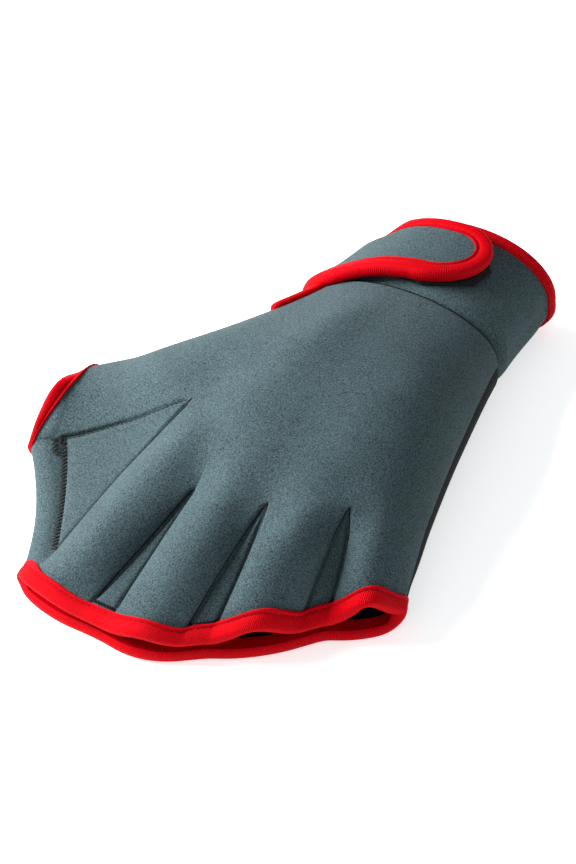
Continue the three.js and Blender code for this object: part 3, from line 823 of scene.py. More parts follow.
@dataclass(frozen=True)
class TapeSection:
    """Section of the edge tape, folded over the cut edge of the cloth, with its sewn groove."""

    thick: float = 1.05
    inner: float = 0.8
    beyond: float = 1.8

    # shares of the width where the outside is read, and its height there as shares of the thickness:
    # a thin lip, the groove of the stitches, then the roll
    SHARES = np.array([1.0, 1.0, 0.97, 0.90, 0.83, 0.765, 0.70, 0.62, 0.45, 0.25, 0.08])
    HEIGHTS = np.array([0.0, 0.5, 0.72, 0.74, 0.62, 0.40, 0.62, 0.88, 1.06, 1.1, 1.06])
    GROOVE = 5  # place of the sewn groove in these rows
    ROLL = 8  # place of the roll's top
    FOLD = np.radians(np.linspace(78, -78, 9))
    # places of the outside under which the inside runs back, and its depths as shares of inner
    BACK = [-1, ROLL, 2, 0]
    DEPTHS = np.array([0.85, 1.0, 0.9, 0.3])

    def sweep(self, base: Array, normals: Array, thick: Array, body: Array) -> Array:
        """Rings of the tape.

        The outside follows the cloth at the section's heights, half an ellipse goes round the cut edge,
        and the inside comes back along the lining.

        Args:
            base: Points on the cloth at the section's shares of the tape's width, station by station.
            normals: Normals there.
            thick: Thickness of the cloth at each station.
            body: Share of the tape's full thickness at each station.

        Returns:
            Rings of points, station by station.
        """
        outside = base + normals * (GAP + (self.thick * self.HEIGHTS)[None] * body[:, None])[..., None]
        edge, far = base[:, -1], base[:, self.GROOVE]
        into, up = unit(edge - far), normals[:, -1]
        middle = edge - up * (thick / 2)[:, None]
        tall = (thick / 2 + GAP + self.thick * 0.98 * body)[:, None, None]
        reach = (self.beyond * body)[:, None, None] * np.cos(self.FOLD)[None, :, None]
        fold = middle[:, None] + into[:, None] * reach + up[:, None] * tall * np.sin(self.FOLD)[None, :, None]
        drop = thick[:, None, None] + GAP + self.DEPTHS[None, :, None] * self.inner
        back = base[:, self.BACK] - normals[:, self.BACK] * drop
        return np.concatenate([outside, fold, back], 1)


def tube(rings: Array, closed: bool, lengths: Array, girth: Array) -> tuple[Array, Array, Array]:
    """A closed body from rings of points: quads between them and, on an open run, over its two ends.

    Args:
        rings: Points, ring by ring.
        closed: Whether the last ring joins the first.
        lengths: Way along the run at each ring, and once more at the first of a closed run.
        girth: Way round the ring at each point, and once more at the first.

    Returns:
        Points, quads, and the ways along and round for each corner.
    """
    count, ring = rings.shape[:2]
    points = rings.reshape(-1, 3)
    i, j = np.meshgrid(np.arange(count if closed else count - 1), np.arange(ring), indexing="ij")
    steps = np.stack([np.stack([i, i + 1, i + 1, i], -1), np.stack([j, j, j + 1, j + 1], -1)], -1)
    steps = steps.reshape(-1, 4, 2)
    faces = (steps[..., 0] % count) * ring + steps[..., 1] % ring
    turned = facing_out(points, faces)
    straight = turned is faces
    order = steps if straight else steps[:, ::-1]
    uv = np.stack([lengths[order[..., 0]], girth[order[..., 1]]], -1)
    if not closed:
        j = np.arange(ring // 2 - 1)
        end = np.stack([j, j + 1, ring - 2 - j, ring - 1 - j], -1)
        caps = np.concatenate([end, end[:, ::-1] + (count - 1) * ring])
        turned = np.concatenate([turned, caps if straight else caps[:, ::-1]])
        uv = np.concatenate([uv, np.zeros((len(caps), 4, 2))])
    return points, turned, uv.reshape(-1, 2)


@dataclass(frozen=True)
class Stitch:
    """One kind of sewing: how far apart, long and thick its stitches are, their turn across the seam in
    degrees, to either side by turns, and how far the middle of the thread stands off the seam."""

    pitch: float
    length: float
    radius: float
    slant: float = 0.0
    lift: float = 0.0

    SIDES = 5
    END = 0.5  # place of a thread's two ends in lengths
    # the rings between them: place in lengths, size and drop in radii
    RINGS = ((-0.34, 0.85, 0.2), (0.0, 1.0, 0.0), (0.34, 0.85, 0.2))
    SUNK = 0.9  # how far its ends lie below its middle, in radii

    def body(self) -> tuple[Array, Array]:
        """One length of thread: a spindle of three rings between two ends, lying along x.

        Returns:
            Points and triangles.
        """
        turn = 2 * np.pi * np.arange(self.SIDES) / self.SIDES
        ends = np.array([[-1.0, 0, 0], [1.0, 0, 0]]) * self.END * self.length
        ends[:, 2] = -self.SUNK * self.radius
        rings = [np.stack([np.full(self.SIDES, place * self.length), size * self.radius * np.cos(turn),
                           (size * np.sin(turn) - low) * self.radius], -1)
                 for place, size, low in self.RINGS]
        j = np.arange(self.SIDES)
        n = (j + 1) % self.SIDES
        last = 3 * self.SIDES + 1
        first_end = np.stack([0 * j, 1 + n, 1 + j], -1)
        last_end = np.stack([0 * j + last, last - self.SIDES + j, last - self.SIDES + n], -1)
        lower = [np.stack([b + j, b + n, b + self.SIDES + n], -1) for b in (1, 1 + self.SIDES)]
        upper = [np.stack([b + j, b + self.SIDES + n, b + self.SIDES + j], -1) for b in (1, 1 + self.SIDES)]
        return (np.concatenate([ends[:1], *rings, ends[1:]]),
                np.concatenate([first_end, last_end, *lower, *upper]))

    def row(self, path: Array, normals: Array) -> tuple[Array, Array]:
        """Stitches along a path.

        Args:
            path: Points of the path.
            normals: Direction away from the cloth at each.

        Returns:
            Points and triangles.
        """
        way = along(path)
        at = np.arange(self.pitch / 2, way[-1] - self.length / 2, self.pitch)
        centre, ahead, behind = (np.stack([np.interp(at + step, way, path[:, k]) for k in range(3)], -1)
                                 for step in (0.0, 0.1, -0.1))
        up = unit(np.stack([np.interp(at, way, normals[:, k]) for k in range(3)], -1))
        forward = unit(ahead - behind)
        across = unit(np.cross(up, forward))
        turn = np.radians(self.slant) * np.where(np.arange(len(at)) % 2 == 0, 1.0, -1.0)[:, None]
        run = forward * np.cos(turn) + across * np.sin(turn)
        side = across * np.cos(turn) - forward * np.sin(turn)
        shape, one = self.body()
        points = (centre[:, None] + run[:, None] * shape[None, :, :1] + side[:, None] * shape[None, :, 1:2]
                  + up[:, None] * (shape[None, :, 2:] + self.lift))
        faces = (one[None] + (np.arange(len(at)) * len(shape))[:, None, None]).reshape(-1, 3)
        return points.reshape(-1, 3), faces


def gather(parts: Sequence[tuple[Array, Array]]) -> tuple[Array, Array]:
    """Several bodies of points and faces as one."""
    starts = np.cumsum([0] + [len(p) for p, _ in parts[:-1]])
    return np.concatenate([p for p, _ in parts]), np.concatenate([f + s for (_, f), s in zip(parts, starts)])


# Finishes of the cloths, tape, thread and fastener


def colour(code: str) -> tuple[float, float, float, float]:
    """Linear colour of a six-figure screen colour.

    Args:
        code: Two figures each for red, green and blue.

    Returns:
        Red, green, blue and full cover.
    """
    parts = [int(code[k:k + 2], 16) / 255 for k in (0, 2, 4)]
    linear = [p / 12.92 if p <= 0.04045 else ((p + 0.055) / 1.055) ** 2.4 for p in parts]
    return linear[0], linear[1], linear[2], 1.0


class Wire:
    """A shader socket; arithmetic on it adds Math nodes."""

    def __init__(self, tree: bpy.types.NodeTree, socket: bpy.types.NodeSocket) -> None:
        """Holds the socket and the node tree it belongs to."""
        self.tree = tree
        self.socket = socket

    def _math(self, operation: str, *values: Union["Wire", float], clamp: bool = False) -> "Wire":
        """Adds a Math node.

        Args:
            operation: What it does.
            values: What it works on.
            clamp: Whether the result is held between 0 and 1.

        Returns:
            Its result.
        """
        node = self.tree.nodes.new("ShaderNodeMath")
        node.operation = operation
        node.use_clamp = clamp
        for place, value in zip(node.inputs, values):
            if isinstance(value, Wire):
                self.tree.links.new(value.socket, place)
            else:
                place.default_value = value
        return Wire(self.tree, node.outputs[0])

    def __add__(self, other: Union["Wire", float]) -> "Wire":
        """self + other."""
        return self._math("ADD", self, other)

    def __radd__(self, other: float) -> "Wire":
        """other + self."""
        return self._math("ADD", other, self)

    def __sub__(self, other: Union["Wire", float]) -> "Wire":
        """self - other."""
        return self._math("SUBTRACT", self, other)

    def __rsub__(self, other: float) -> "Wire":
        """other - self."""
        return self._math("SUBTRACT", other, self)

    def __mul__(self, other: Union["Wire", float]) -> "Wire":
        """self * other."""
        return self._math("MULTIPLY", self, other)

    def __rmul__(self, other: float) -> "Wire":
        """other * self."""
        return self._math("MULTIPLY", other, self)

    def wave(self, period: float) -> "Wire":
        """Sine of the value, from -1 to 1, once in each period."""
        return self._math("SINE", self * (2 * math.pi / period))

    def held(self) -> "Wire":
        """The value held between 0 and 1."""
        return self._math("ADD", self, 0.0, clamp=True)


class Finish:
    """The nodes of one material on a Principled shader."""

    def __init__(self, name: str, **constants: Union[float, tuple]) -> None:
        """Starts the material.

        Args:
            name: Name of the material.
            constants: Values of the shader's own sockets, named with underscores for spaces.
        """
        self.material = bpy.data.materials.new(name)
        self.material.use_nodes = True
        self.tree = self.material.node_tree
        self.shader = next(n for n in self.tree.nodes if n.type == "BSDF_PRINCIPLED")
        for socket, value in constants.items():
            self.shader.inputs[socket.replace("_", " ")].default_value = value

    def node(self, kind: str, settings: Optional[dict] = None, inputs: Optional[dict] = None,
             output: Union[int, str] = 0) -> Wire:
        """Adds a node.

        Args:
            kind: Type of the node, without its ShaderNode prefix.
            settings: Its own settings, set first.
            inputs: Values or wires for its sockets, by name or number.
            output: Which of its outputs is wanted.

        Returns:
            That output.
        """
        node = self.tree.nodes.new("ShaderNode" + kind)
        for key, value in (settings or {}).items():
            setattr(node, key, value)
        for key, value in (inputs or {}).items():
            if isinstance(value, Wire):
                self.tree.links.new(value.socket, node.inputs[key])
            else:
                node.inputs[key].default_value = value
        return Wire(self.tree, node.outputs[output])

    def blend(self, share: Union[Wire, float], first: Union[Wire, tuple], second: Union[Wire, tuple]) -> Wire:
        """Colour between first and second."""
        return self.node("Mix", {"data_type": "RGBA"}, {0: share, 6: first, 7: second}, 2)

    def noise(self, size: float, detail: float = 2.0, roughness: float = 0.5) -> Wire:
        """Noise in the object's own metres.

        Args:
            size: Width of its features in millimetres, about.
            detail: Number of finer layers on it.
            roughness: Strength of each layer as a share of the one before.

        Returns:
            Values round a half.
        """
        place = self.node("TexCoord", output="Object")
        inputs = {"Vector": place, "Scale": 1 / (size * MILLIMETRE), "Detail": detail, "Roughness": roughness}
        return self.node("TexNoise", inputs=inputs)

    def contrast(self, value: Wire, low: float, high: float) -> Wire:
        """Value spread so that low becomes 0 and high becomes 1."""
        return self.node("MapRange", inputs={"Value": value, "From Min": low, "From Max": high})

    def run(self) -> Wire:
        """Millimetres along the piece from its own map."""
        return self.node("SeparateXYZ", inputs={0: self.node("UVMap", {"uv_map": "run"})})

    def link(self, wire: Wire, socket: str) -> None:
        """Joins a wire to one of the shader's sockets."""
        self.tree.links.new(wire.socket, self.shader.inputs[socket])

    def bump(self, height: Wire, depth: float, strength: float = 1.0) -> None:
        """Roughens the surface by a height from 0 to 1; depth is what 1 stands for, in millimetres."""
        sockets = {"Height": height, "Distance": depth * MILLIMETRE, "Strength": strength}
        self.link(self.node("Bump", inputs=sockets, output="Normal"), "Normal")


@dataclass(frozen=True)
class KnitCloth:
    """Soft rubber cloth faced with fine knit: a speckle of two tones and a slight nap."""

    name: str
    deep: str
    pale: str
    lining: str
    grain: float = 0.52
    drift: float = 22.0

    def material(self) -> bpy.types.Material:
        """Builds the material: a fine speckle on a slow drift of tone, and the lining's own colour inside.

        Returns:
            The material.
        """
        f = Finish(self.name, Roughness=0.9, Sheen_Weight=0.05, Sheen_Roughness=0.5, Specular_IOR_Level=0.12)
        speckle = f.noise(self.grain, 3.0, 0.65)
        broad = f.noise(self.drift)
        tone = (f.contrast(speckle, 0.34, 0.66) * 0.85 + f.contrast(broad, 0.25, 0.75) * 0.15).held()
        inside = f.node("Attribute", {"attribute_name": "inside"}, output="Fac")
        cloth = f.blend(tone, colour(self.deep), colour(self.pale))
        f.link(f.blend(inside, cloth, colour(self.lining)), "Base Color")
        fine = f.noise(self.grain * 0.6, roughness=0.6)
        f.bump(speckle * 0.6 + fine * 0.4, 0.5, 0.9)
        return f.material


@dataclass(frozen=True)
class RibbedTape:
    """Woven edge tape with fine ribs across it, painted darker in the troughs between the ribs as shade."""

    name: str
    deep: str
    bright: str
    rib: float = 0.75

    def material(self) -> bpy.types.Material:
        """Builds the material on the tape's own map, the ribs a little uneven and the troughs between them
        painted darker as shade.

        Returns:
            The material.
        """
        f = Finish(self.name, Roughness=0.65, Specular_IOR_Level=0.04)
        fuzz = f.noise(0.6)
        rib_height_and_shade = (f.run() + fuzz * 0.25).wave(self.rib) * 0.5 + 0.5
        # the ribs' wave darkens the colour in the troughs between them: painted shade
        tone = (rib_height_and_shade * 0.55 + f.contrast(fuzz, 0.3, 0.7) * 0.3 + f.noise(14.0) * 0.3).held()
        f.link(f.blend(tone, colour(self.deep), colour(self.bright)), "Base Color")
        f.bump(rib_height_and_shade * 0.8 + fuzz * 0.2, 0.22, 0.8)
        return f.material


@dataclass(frozen=True)
class Thread:
    """Sewing thread with a slight sheen."""

    name: str
    deep: str
    pale: str

    def material(self) -> bpy.types.Material:
        """Builds the material, its tone and height going with the twist.

        Returns:
            The material.
        """
        f = Finish(self.name, Roughness=0.6, Specular_IOR_Level=0.15)
        twist = f.contrast(f.noise(0.5), 0.35, 0.65)
        f.link(f.blend(twist, colour(self.deep), colour(self.pale)), "Base Color")
        f.bump(twist, 0.05)
        return f.material


@dataclass(frozen=True)
class HookFace:
    """Black hook fastening: close rows of stiff bristles."""

    name: str = "hook_face"
    deep: str = "040505"
    pale: str = "0d0f10"
    bristles: float = 1400.0  # to a metre

    def material(self) -> bpy.types.Material:
        """Builds the material: round cells, high at each bristle's tip and paler there as a painted
        highlight.

        Returns:
            The material.
        """
        f = Finish(self.name, Roughness=0.7, Specular_IOR_Level=0.3)
        place = f.node("TexCoord", output="Object")
        cells = f.node("TexVoronoi", inputs={"Vector": place, "Scale": self.bristles}, output="Distance")
        # each bristle's tip is painted paler: a painted highlight
        tip = 1 - f.contrast(cells, 0.0, 0.6)
        f.link(f.blend(tip, colour(self.deep), colour(self.pale)), "Base Color")
        f.bump(tip, 0.4)
        return f.material


# Pieces of the glove


def dress(piece: bpy.types.Object, slot: str, *nodes: str) -> None:
    """Ties a piece to the part and reports it.

    Args:
        piece: The piece.
        slot: Its material slot; not used.
        nodes: The part's nodes that it stands for.
    """
    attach(piece, "root")
    if nodes:
        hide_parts(*nodes)
    LOG.info("%s: %d faces", piece.name, len(piece.data.polygons))


@dataclass
class HandPanels:
    """Back, palm and web panels, cut from one welded skin."""

    plan: HandPlan
    seam_depth: float = 1.0
    seam_width: float = 0.8
    wrist_depth: float = 0.8
    wrist_width: float = 0.9
    strip_from: float = 1.75  # station of the zigzag seam
    roll_depth: float = 4.2
    roll_width: float = 4.4
    roll_near: float = 1.6
    roll_power: float = 1.15
    side_pull: float = 0.6  # strength of the side seams
    seam_grows: float = 0.05  # stations over which a web's seam takes hold
    seam_eased: float = 0.7  # how much of its hold it loses under the tape of the mouth
    seam_eases: tuple[float, float] = (1.86, 0.1)  # pair for fade: where it does
    across_back: int = 34
    across_palm: int = 20
    across_web: int = 14
    across_thumb_web: int = 24

    def __post_init__(self) -> None:
        """Lays the patches out and welds them."""
        self.rows = np.concatenate([
            np.linspace(0, 0.06, 7), np.linspace(0.06, 1, 36)[1:], np.linspace(1, 1.1, 6)[1:],
            np.linspace(1.1, 1.25, 8)[1:], np.linspace(1.25, self.strip_from, 27)[1:],
            split(self.strip_from, 2.0, 28, 1.5)[1:]])
        self.skin = Skin()
        self.tops = [self.skin.add(self._ribbon(k, Face.BACK, self.across_back)) for k in range(5)]
        self.unders = [self.skin.add(self._ribbon(k, Face.PALM, self.across_palm)) for k in range(5)]
        self.web_tops = [self.skin.add(self._web(k, Face.BACK)) for k in range(4)]
        self.web_unders = [self.skin.add(self._web(k, Face.PALM)) for k in range(4)]
        first, last, rim = (slice(None), 0), (slice(None), -1), (-1, slice(None))
        self.skin.weld([(self.tops[0], first), (self.tops[4], last), (self.web_tops[0], rim),
                        (self.web_unders[0], rim)])

    def _seam_strength(self, web: int, rows: Array) -> Array:
        """How strongly a web's seam pulls in; it fades where the rolled strip begins.

        Args:
            web: Number of the web.
            rows: Stations.

        Returns:
            Strength at each.
        """
        strength = (fade(rows, self.plan.webs[web].start, self.seam_grows)
                    * (1 - self.seam_eased * fade(rows, *self.seam_eases)))
        return strength * (1 - smooth((rows - self.strip_from + 0.02) / 0.04)) if web == 0 else strength

    def _ribbon(self, k: int, face: Face, count: int) -> Patch:
        """One finger's strip with its seams.

        Args:
            k: Number of the finger.
            face: Back or palm.
            count: Points across it.

        Returns:
            The patch.
        """
        shares = columns(count)
        points, thick = self.plan.ribbon(k, self.rows[:, None], shares[None], face)
        side = np.full_like(self.rows, self.side_pull)
        left = side if k == 0 else self._seam_strength(k - 1, self.rows)
        right = side if k == 4 else self._seam_strength(k, self.rows)
        if face is Face.PALM:
            left, right = (side if k == 0 else side * 0), (side if k == 4 else side * 0)
        crease = creases(points, left, right, self.seam_depth, self.seam_width)
        wrist = self.wrist_depth * np.exp(-((along(points, 0) / self.wrist_width) ** 2))
        return Patch(self.rows, shares, points, thick, np.maximum(crease, wrist), face)

    def _web(self, k: int, face: Face) -> Patch:
        """One web's patch; on the thumb web's back the free edge rolls over beyond the zigzag seam.

        Args:
            k: Number of the web.
            face: Back or palm.

        Returns:
            The patch.
        """
        rows = self.rows[self.rows >= self.plan.webs[k].start - 1e-9]
        shares = columns(self.across_thumb_web if k == 0 else self.across_web)
        points, thick = self.plan.web(k, rows[:, None], shares[None], face)
        crease = np.zeros_like(thick)
        if face is Face.BACK:
            strength = self._seam_strength(k, rows)
            crease = creases(points, strength, strength, self.seam_depth, self.seam_width)
            if k == 0:
                crease = np.maximum(crease, self._roll(points, rows, shares))
        return Patch(rows, shares, points, thick, crease, face)

    def _roll(self, points: Array, rows: Array, shares: Array) -> Array:
        """Depth of the fall from the rolled strip into the zigzag seam.

        It is the exponential of minus a power of the distance over the width, so it is ever steeper
        toward the seam, wide on the strip and narrow on the web, and it fades at the seam's ends.

        Args:
            points: Grid of the thumb web.
            rows: Its stations.
            shares: Its shares of the width.

        Returns:
            Depths on the grid.
        """
        run = along(points, 0)
        at = int(np.argmin(np.abs(rows - self.strip_from)))
        off = run - run[at]
        width = np.where(off > 0, self.roll_width, self.roll_near)
        ends = np.clip(4 * shares * (1 - shares), 0, 1) ** 0.35
        return self.roll_depth * np.exp(-(np.abs(off / width) ** self.roll_power)) * ends

    def build(self, grey: bpy.types.Material, web: bpy.types.Material, black: bpy.types.Material) -> None:
        """Makes the back, the palm and the four web panels, sewn edge to edge with the back.

        Args:
            grey: Cloth of the back and of the rolled strip.
            web: Cloth of the webs.
            black: Cloth of the palm.
        """
        strip = self.web_tops[0]
        seam = int(np.argmin(np.abs(strip.rows - self.strip_from)))
        back = np.concatenate([*(patch.triangles() for patch in self.tops), strip.triangles(seam)])
        self._panel("back_cloth", back, grey, "grey_cloth", "back_panel")
        palm = np.concatenate([patch.triangles() for patch in (*self.unders, *self.web_unders)])
        self._panel("palm_cloth", palm, black, "black_cloth", "palm_panel")
        for k, panel in enumerate(self.plan.webs):
            faces = self.web_tops[k].triangles(last=seam + 1 if k == 0 else None)
            self._panel(f"{panel.name}_cloth", faces, web, "web_cloth", panel.name)

    def _panel(self, name: str, faces: Array, finish: bpy.types.Material, slot: str, node: str) -> None:
        """One thick panel from triangles of the skin, standing for one of the part's nodes."""
        points, every, inside = thicken(self.skin.points, self.skin.normals, self.skin.thick, faces)
        dress(put_down(name, points, every, finish, inside=inside), slot, node)


@dataclass
class TapeRun:
    """Stations across a tape: places at the section's shares, normals, cloth thickness, tape thickness."""

    base: Array
    normals: Array
    thick: Array
    body: Array

    def back(self) -> "TapeRun":
        """The same run in the other direction."""
        return TapeRun(self.base[::-1], self.normals[::-1], self.thick[::-1], self.body[::-1])

    @staticmethod
    def loop(runs: Sequence["TapeRun"], step: float = 0.8, spread: float = 1.7) -> "TapeRun":
        """Joins runs to a closed loop of even steps and evens it out.

        Each value becomes the mean of its neighbours round the loop, weighted by a bell curve of their
        distance, so that the tape bridges the dips at the seams as a stiff tape does.

        Args:
            runs: Runs in order; each ends where the next begins.
            step: Distance between stations.
            spread: Width of the bell.

        Returns:
            The loop.
        """
        count = sum(len(r.thick) - 1 for r in runs)
        fields = [np.concatenate([getattr(r, name)[:-1] for r in runs]).reshape(count, -1)
                  for name in ("base", "normals", "thick", "body")]
        widths = [f.shape[1] for f in fields]
        every = np.concatenate(fields, 1)
        every = np.concatenate([every, every[:1]])
        middle = every[:, :widths[0]].reshape(len(every), -1, 3).mean(1)
        run = along(middle)
        at = np.linspace(0, run[-1], int(run[-1] / step), endpoint=False)
        upper = np.clip(np.searchsorted(run, at, side="right"), 1, len(run) - 1)
        t = ((at - run[upper - 1]) / np.maximum(run[upper] - run[upper - 1], 1e-9))[:, None]
        even = mix(every[upper - 1], every[upper], t)
        reach = int(np.ceil(3 * spread / step))
        weights = np.exp(-0.5 * (np.arange(-reach, reach + 1) * step / spread) ** 2)
        eased = sum(w * np.roll(even, k - reach, axis=0) for k, w in enumerate(weights)) / weights.sum()
        ends = np.cumsum([0, *widths])
        base, normals, thick, body = (eased[:, ends[k]:ends[k + 1]] for k in range(4))
        base, normals = base.reshape(len(at), -1, 3), unit(normals.reshape(len(at), -1, 3))
        return TapeRun(base, normals, thick[:, 0], body[:, 0])


@dataclass
class EdgeTape:
    """Red tape folded over a cut edge."""

    name: str
    node: str
    section: TapeSection = TapeSection()
    underside: float = 3.0  # way round the section from its last point to its first, on the map only

    def build(self, run: TapeRun, closed: bool, finish: bpy.types.Material) -> tuple[Array, Array]:
        """Makes the tape.

        Args:
            run: Its stations.
            closed: Whether it runs round a whole mouth.
            finish: Material of the tape.

        Returns:
            The path of the stitches in its groove, and the normals there.
        """
        rings = self.section.sweep(run.base, run.normals, run.thick, run.body)
        middle = rings[:, TapeSection.ROLL]
        lengths = np.append(along(middle), 0.0)
        lengths[-1] = lengths[-2] + np.linalg.norm(middle[-1] - middle[0])
        girth = np.append(along(rings[len(rings) // 2]), 0.0)
        girth[-1] = girth[-2] + self.underside
        points, faces, uv = tube(rings, closed, lengths, girth)
        dress(put_down(self.name, points, faces, finish, uv=uv), "red_tape", self.node)
        up = run.normals[:, TapeSection.GROOVE]
        height = GAP + self.section.thick * TapeSection.HEIGHTS[TapeSection.GROOVE]
        return run.base[:, TapeSection.GROOVE] + up * height, up


@dataclass
class Mouths:
    """The taped rims of the finger mouth and the thumb mouth."""

    hand: HandPanels
    width: float = 4.7
    thumb_width: float = 4.4
    thumb_corner: float = 2.0  # width of the tape where the thumb mouth meets the web
    thumb_body: float = 0.6  # and its thickness there, as a share
    corner_body: float = 0.85  # its thickness where the finger mouth meets the web
    fan_reach: float = 13.0  # how far round the free edge's end the tape may be laid
    free_edge: float = 50.6  # length of the thumb web's free edge
    fan_span: float = 0.24  # stations up which its first line runs
    fan_lines: int = 14
    up_to: float = 1.66  # station where the lines up the cloth end
    lead: int = 12  # point of a line that gives its direction
    steepest: float = 0.55  # least share of a line's way that counts as square to the rim

    def _across(self, points: Array, normals: Array, thick: Array, widths: Array, inward: Array,
                body: Array) -> TapeRun:
        """Walks up the cloth from the rim so far that the tape is equally wide square to its rim.

        Args:
            points: Lines up the cloth, along the line on the first axis.
            normals: Normals there.
            thick: Thickness there.
            widths: Width of the tape at each line.
            inward: Plan direction square to the rim at each line.
            body: Thickness of the tape at each line as a share.

        Returns:
            The stations.
        """
        run = along(points, 0)
        ahead = (points[self.lead] - points[0])[:, :2] / np.maximum(run[self.lead], 1e-9)[:, None]
        slant = np.clip(np.abs((ahead * inward).sum(-1)), self.steepest, 1.0)
        base, turned = walk(points, normals, (widths / slant)[:, None] * TapeSection.SHARES[None])
        return TapeRun(base, turned, thick[0], body)

    @staticmethod
    def _square(rim: Array) -> Array:
        """Plan direction square to the straight line between a rim's two ends, once for each point."""
        d = unit((rim[-1] - rim[0])[None, :2])
        return np.broadcast_to(np.stack([-d[:, 1], d[:, 0]], -1), (len(rim), 2))

    def _stations(self, patch: Patch, shares: Array, widths: Array) -> TapeRun:
        """Stations along a patch's mouth row.

        Args:
            patch: Finger's strip or web, on the back or under the palm.
            shares: Shares of its width.
            widths: Width of the tape at each.

        Returns:
            The stations.
        """
        v = np.linspace(2.0, self.up_to, 70)[:, None]
        points, normals, thick = patch.sample(v, shares[None])
        return self._across(points, normals, thick, widths, self._square(points[0]), np.ones_like(shares))

    def _fan(self, patch: Patch, corner: float, width: float, least: float, inward: Array) -> TapeRun:
        """Stations round the end of the web's free edge, fanned from its seam to the edge itself.

        Each line goes straight over the patch, in its stations and shares, from the corner of the mouth.

        Args:
            patch: The thumb web, on the back or under the palm.
            corner: Share of the web's width where the corner is, 0 or 1.
            width: Width of the tape.
            least: Thickness of the tape at the free edge as a share.
            inward: Plan direction square to the mouth's rim.

        Returns:
            The stations, from the seam to the free edge.
        """
        fan = np.linspace(0, 1, self.fan_lines)
        way = 1.0 if corner == 0 else -1.0
        span = np.linspace(0, 1, 60)[:, None]
        v = 2.0 - span * (1 - fan[None]) * self.fan_span
        share = corner + way * span * fan[None] * self.fan_reach / self.free_edge
        points, normals, thick = patch.sample(v, share)
        square = np.broadcast_to(inward, (self.fan_lines, 2))
        body = mix(1.0, least, smooth(fan))
        return self._across(points, normals, thick, np.full_like(fan, width), square, body)

    def fingers(self) -> TapeRun:
        """Stations round the finger mouth: the corner, over the back to the little finger, and home.

        Returns:
            The stations.
        """
        hand, share = self.hand, np.linspace(0, 1, 44)
        full = np.full_like(share, self.width)
        over, under = [], []
        for k in range(1, 5):
            over.append(self._stations(hand.tops[k], share, full))
            under.append(self._stations(hand.unders[k], share, full))
            if k < 4:
                short = np.linspace(0, 1, 12)
                wide = np.full_like(short, self.width)
                over.append(self._stations(hand.web_tops[k], short, wide))
                under.append(self._stations(hand.web_unders[k], short, wide))
        inward = self._square(over[0].base[:, -1])[0]
        top_fan = self._fan(hand.web_tops[0], 1, self.width, self.corner_body, inward)
        under_fan = self._fan(hand.web_unders[0], 1, self.width, self.corner_body, inward)
        return TapeRun.loop([top_fan.back(), *over, *[u.back() for u in reversed(under)], under_fan])

    def thumb(self) -> TapeRun:
        """Stations round the thumb mouth, where the tape draws in toward the web.

        Returns:
            The stations.
        """
        hand, share = self.hand, np.linspace(0, 1, 60)
        widths = mix(self.thumb_corner, self.thumb_width, smooth((1 - share) / 0.35))
        top = self._stations(hand.tops[0], share, widths)
        under = self._stations(hand.unders[0], share, widths)
        for run in (top, under):
            run.body = mix(self.thumb_body, 1.0, smooth((1 - share) / 0.2))
        inward = self._square(top.base[:, -1])[0]
        top_fan = self._fan(hand.web_tops[0], 0, self.thumb_corner, self.thumb_body, inward)
        under_fan = self._fan(hand.web_unders[0], 0, self.thumb_corner, self.thumb_body, inward)
        for fan in (top_fan, under_fan):
            fan.body = np.full(self.fan_lines, self.thumb_body)
        return TapeRun.loop([top, top_fan, under_fan.back(), under.back()])


@dataclass
class Cuff:
    """The cuff: an open ring with its slit at the thumb edge, tape on its end."""

    plan: HandPlan
    slit: float = 0.5
    tape: float = 4.2
    seam_depth: float = 2.4
    seam_width: float = 3.4
    fold: float = 1.6
    fold_place: tuple[float, float] = (3.5, -3.0)  # back from the seam, and round from the little-finger edge
    fold_size: tuple[float, float] = (3.2, 8.0)

    def grid(self) -> tuple[Array, Array, Array]:
        """The cuff's outer skin from the slit over the back and home under the wrist.

        Near the wrist seam it sinks as a bell of the distance from it, and at the little-finger side it
        stands out in a small fold just behind the seam.

        Returns:
            Points, normals and thickness.
        """
        rows = np.concatenate([np.linspace(-1, -0.2, 40), split(-0.2, -0.009, 22, 1.6)[1:]])
        top, under = columns(84), columns(50)
        over, thick = self.plan.wrist(rows[:, None], top[None], Face.BACK)
        below, thick_below = self.plan.wrist(rows[:, None], under[None, ::-1], Face.PALM)
        points = np.concatenate([over, below[:, 1:]], 1)
        thick = np.concatenate([thick, thick_below[:, 1:]], 1)
        for end, other in ((0, 1), (-1, -2)):
            points[:, end] += unit(points[:, other] - points[:, end]) * self.slit
        centre = points.mean(1, keepdims=True)
        normals = grid_normals(points, points - centre)
        off = along(points, 0)[-1:] - along(points, 0)
        sink = self.seam_depth * np.exp(-((off / self.seam_width) ** 2))
        side = along(points, 1) - along(over, 1)[:, -1:]
        back, round_it = ((way - place) / size
                          for way, place, size in zip((off, side), self.fold_place, self.fold_size))
        fold = self.fold * np.exp(-(back**2) - round_it**2)
        points = points + normals * (fold - sink)[..., None]
        return points, grid_normals(points, points - centre), thick

    def build(self, cloth: bpy.types.Material, red: bpy.types.Material) -> tuple[Array, Array]:
        """Makes the cuff and its tape.

        Args:
            cloth: Cloth of the cuff.
            red: Material of the tape.

        Returns:
            The path of the tape's stitches, and the normals there.
        """
        points, normals, thick = self.grid()
        solid, faces, inside = sheet(points, normals, thick)
        dress(put_down("cuff_cloth", solid, faces, cloth, inside=inside), "grey_cloth", "cuff")
        widths = np.full((points.shape[1], 1), self.tape) * TapeSection.SHARES[None]
        base, turned = walk(points, normals, widths)
        run = TapeRun(base, turned, thick[0], np.ones(len(base)))
        return EdgeTape("cuff_tape", "cuff_binding").build(run, False, red)


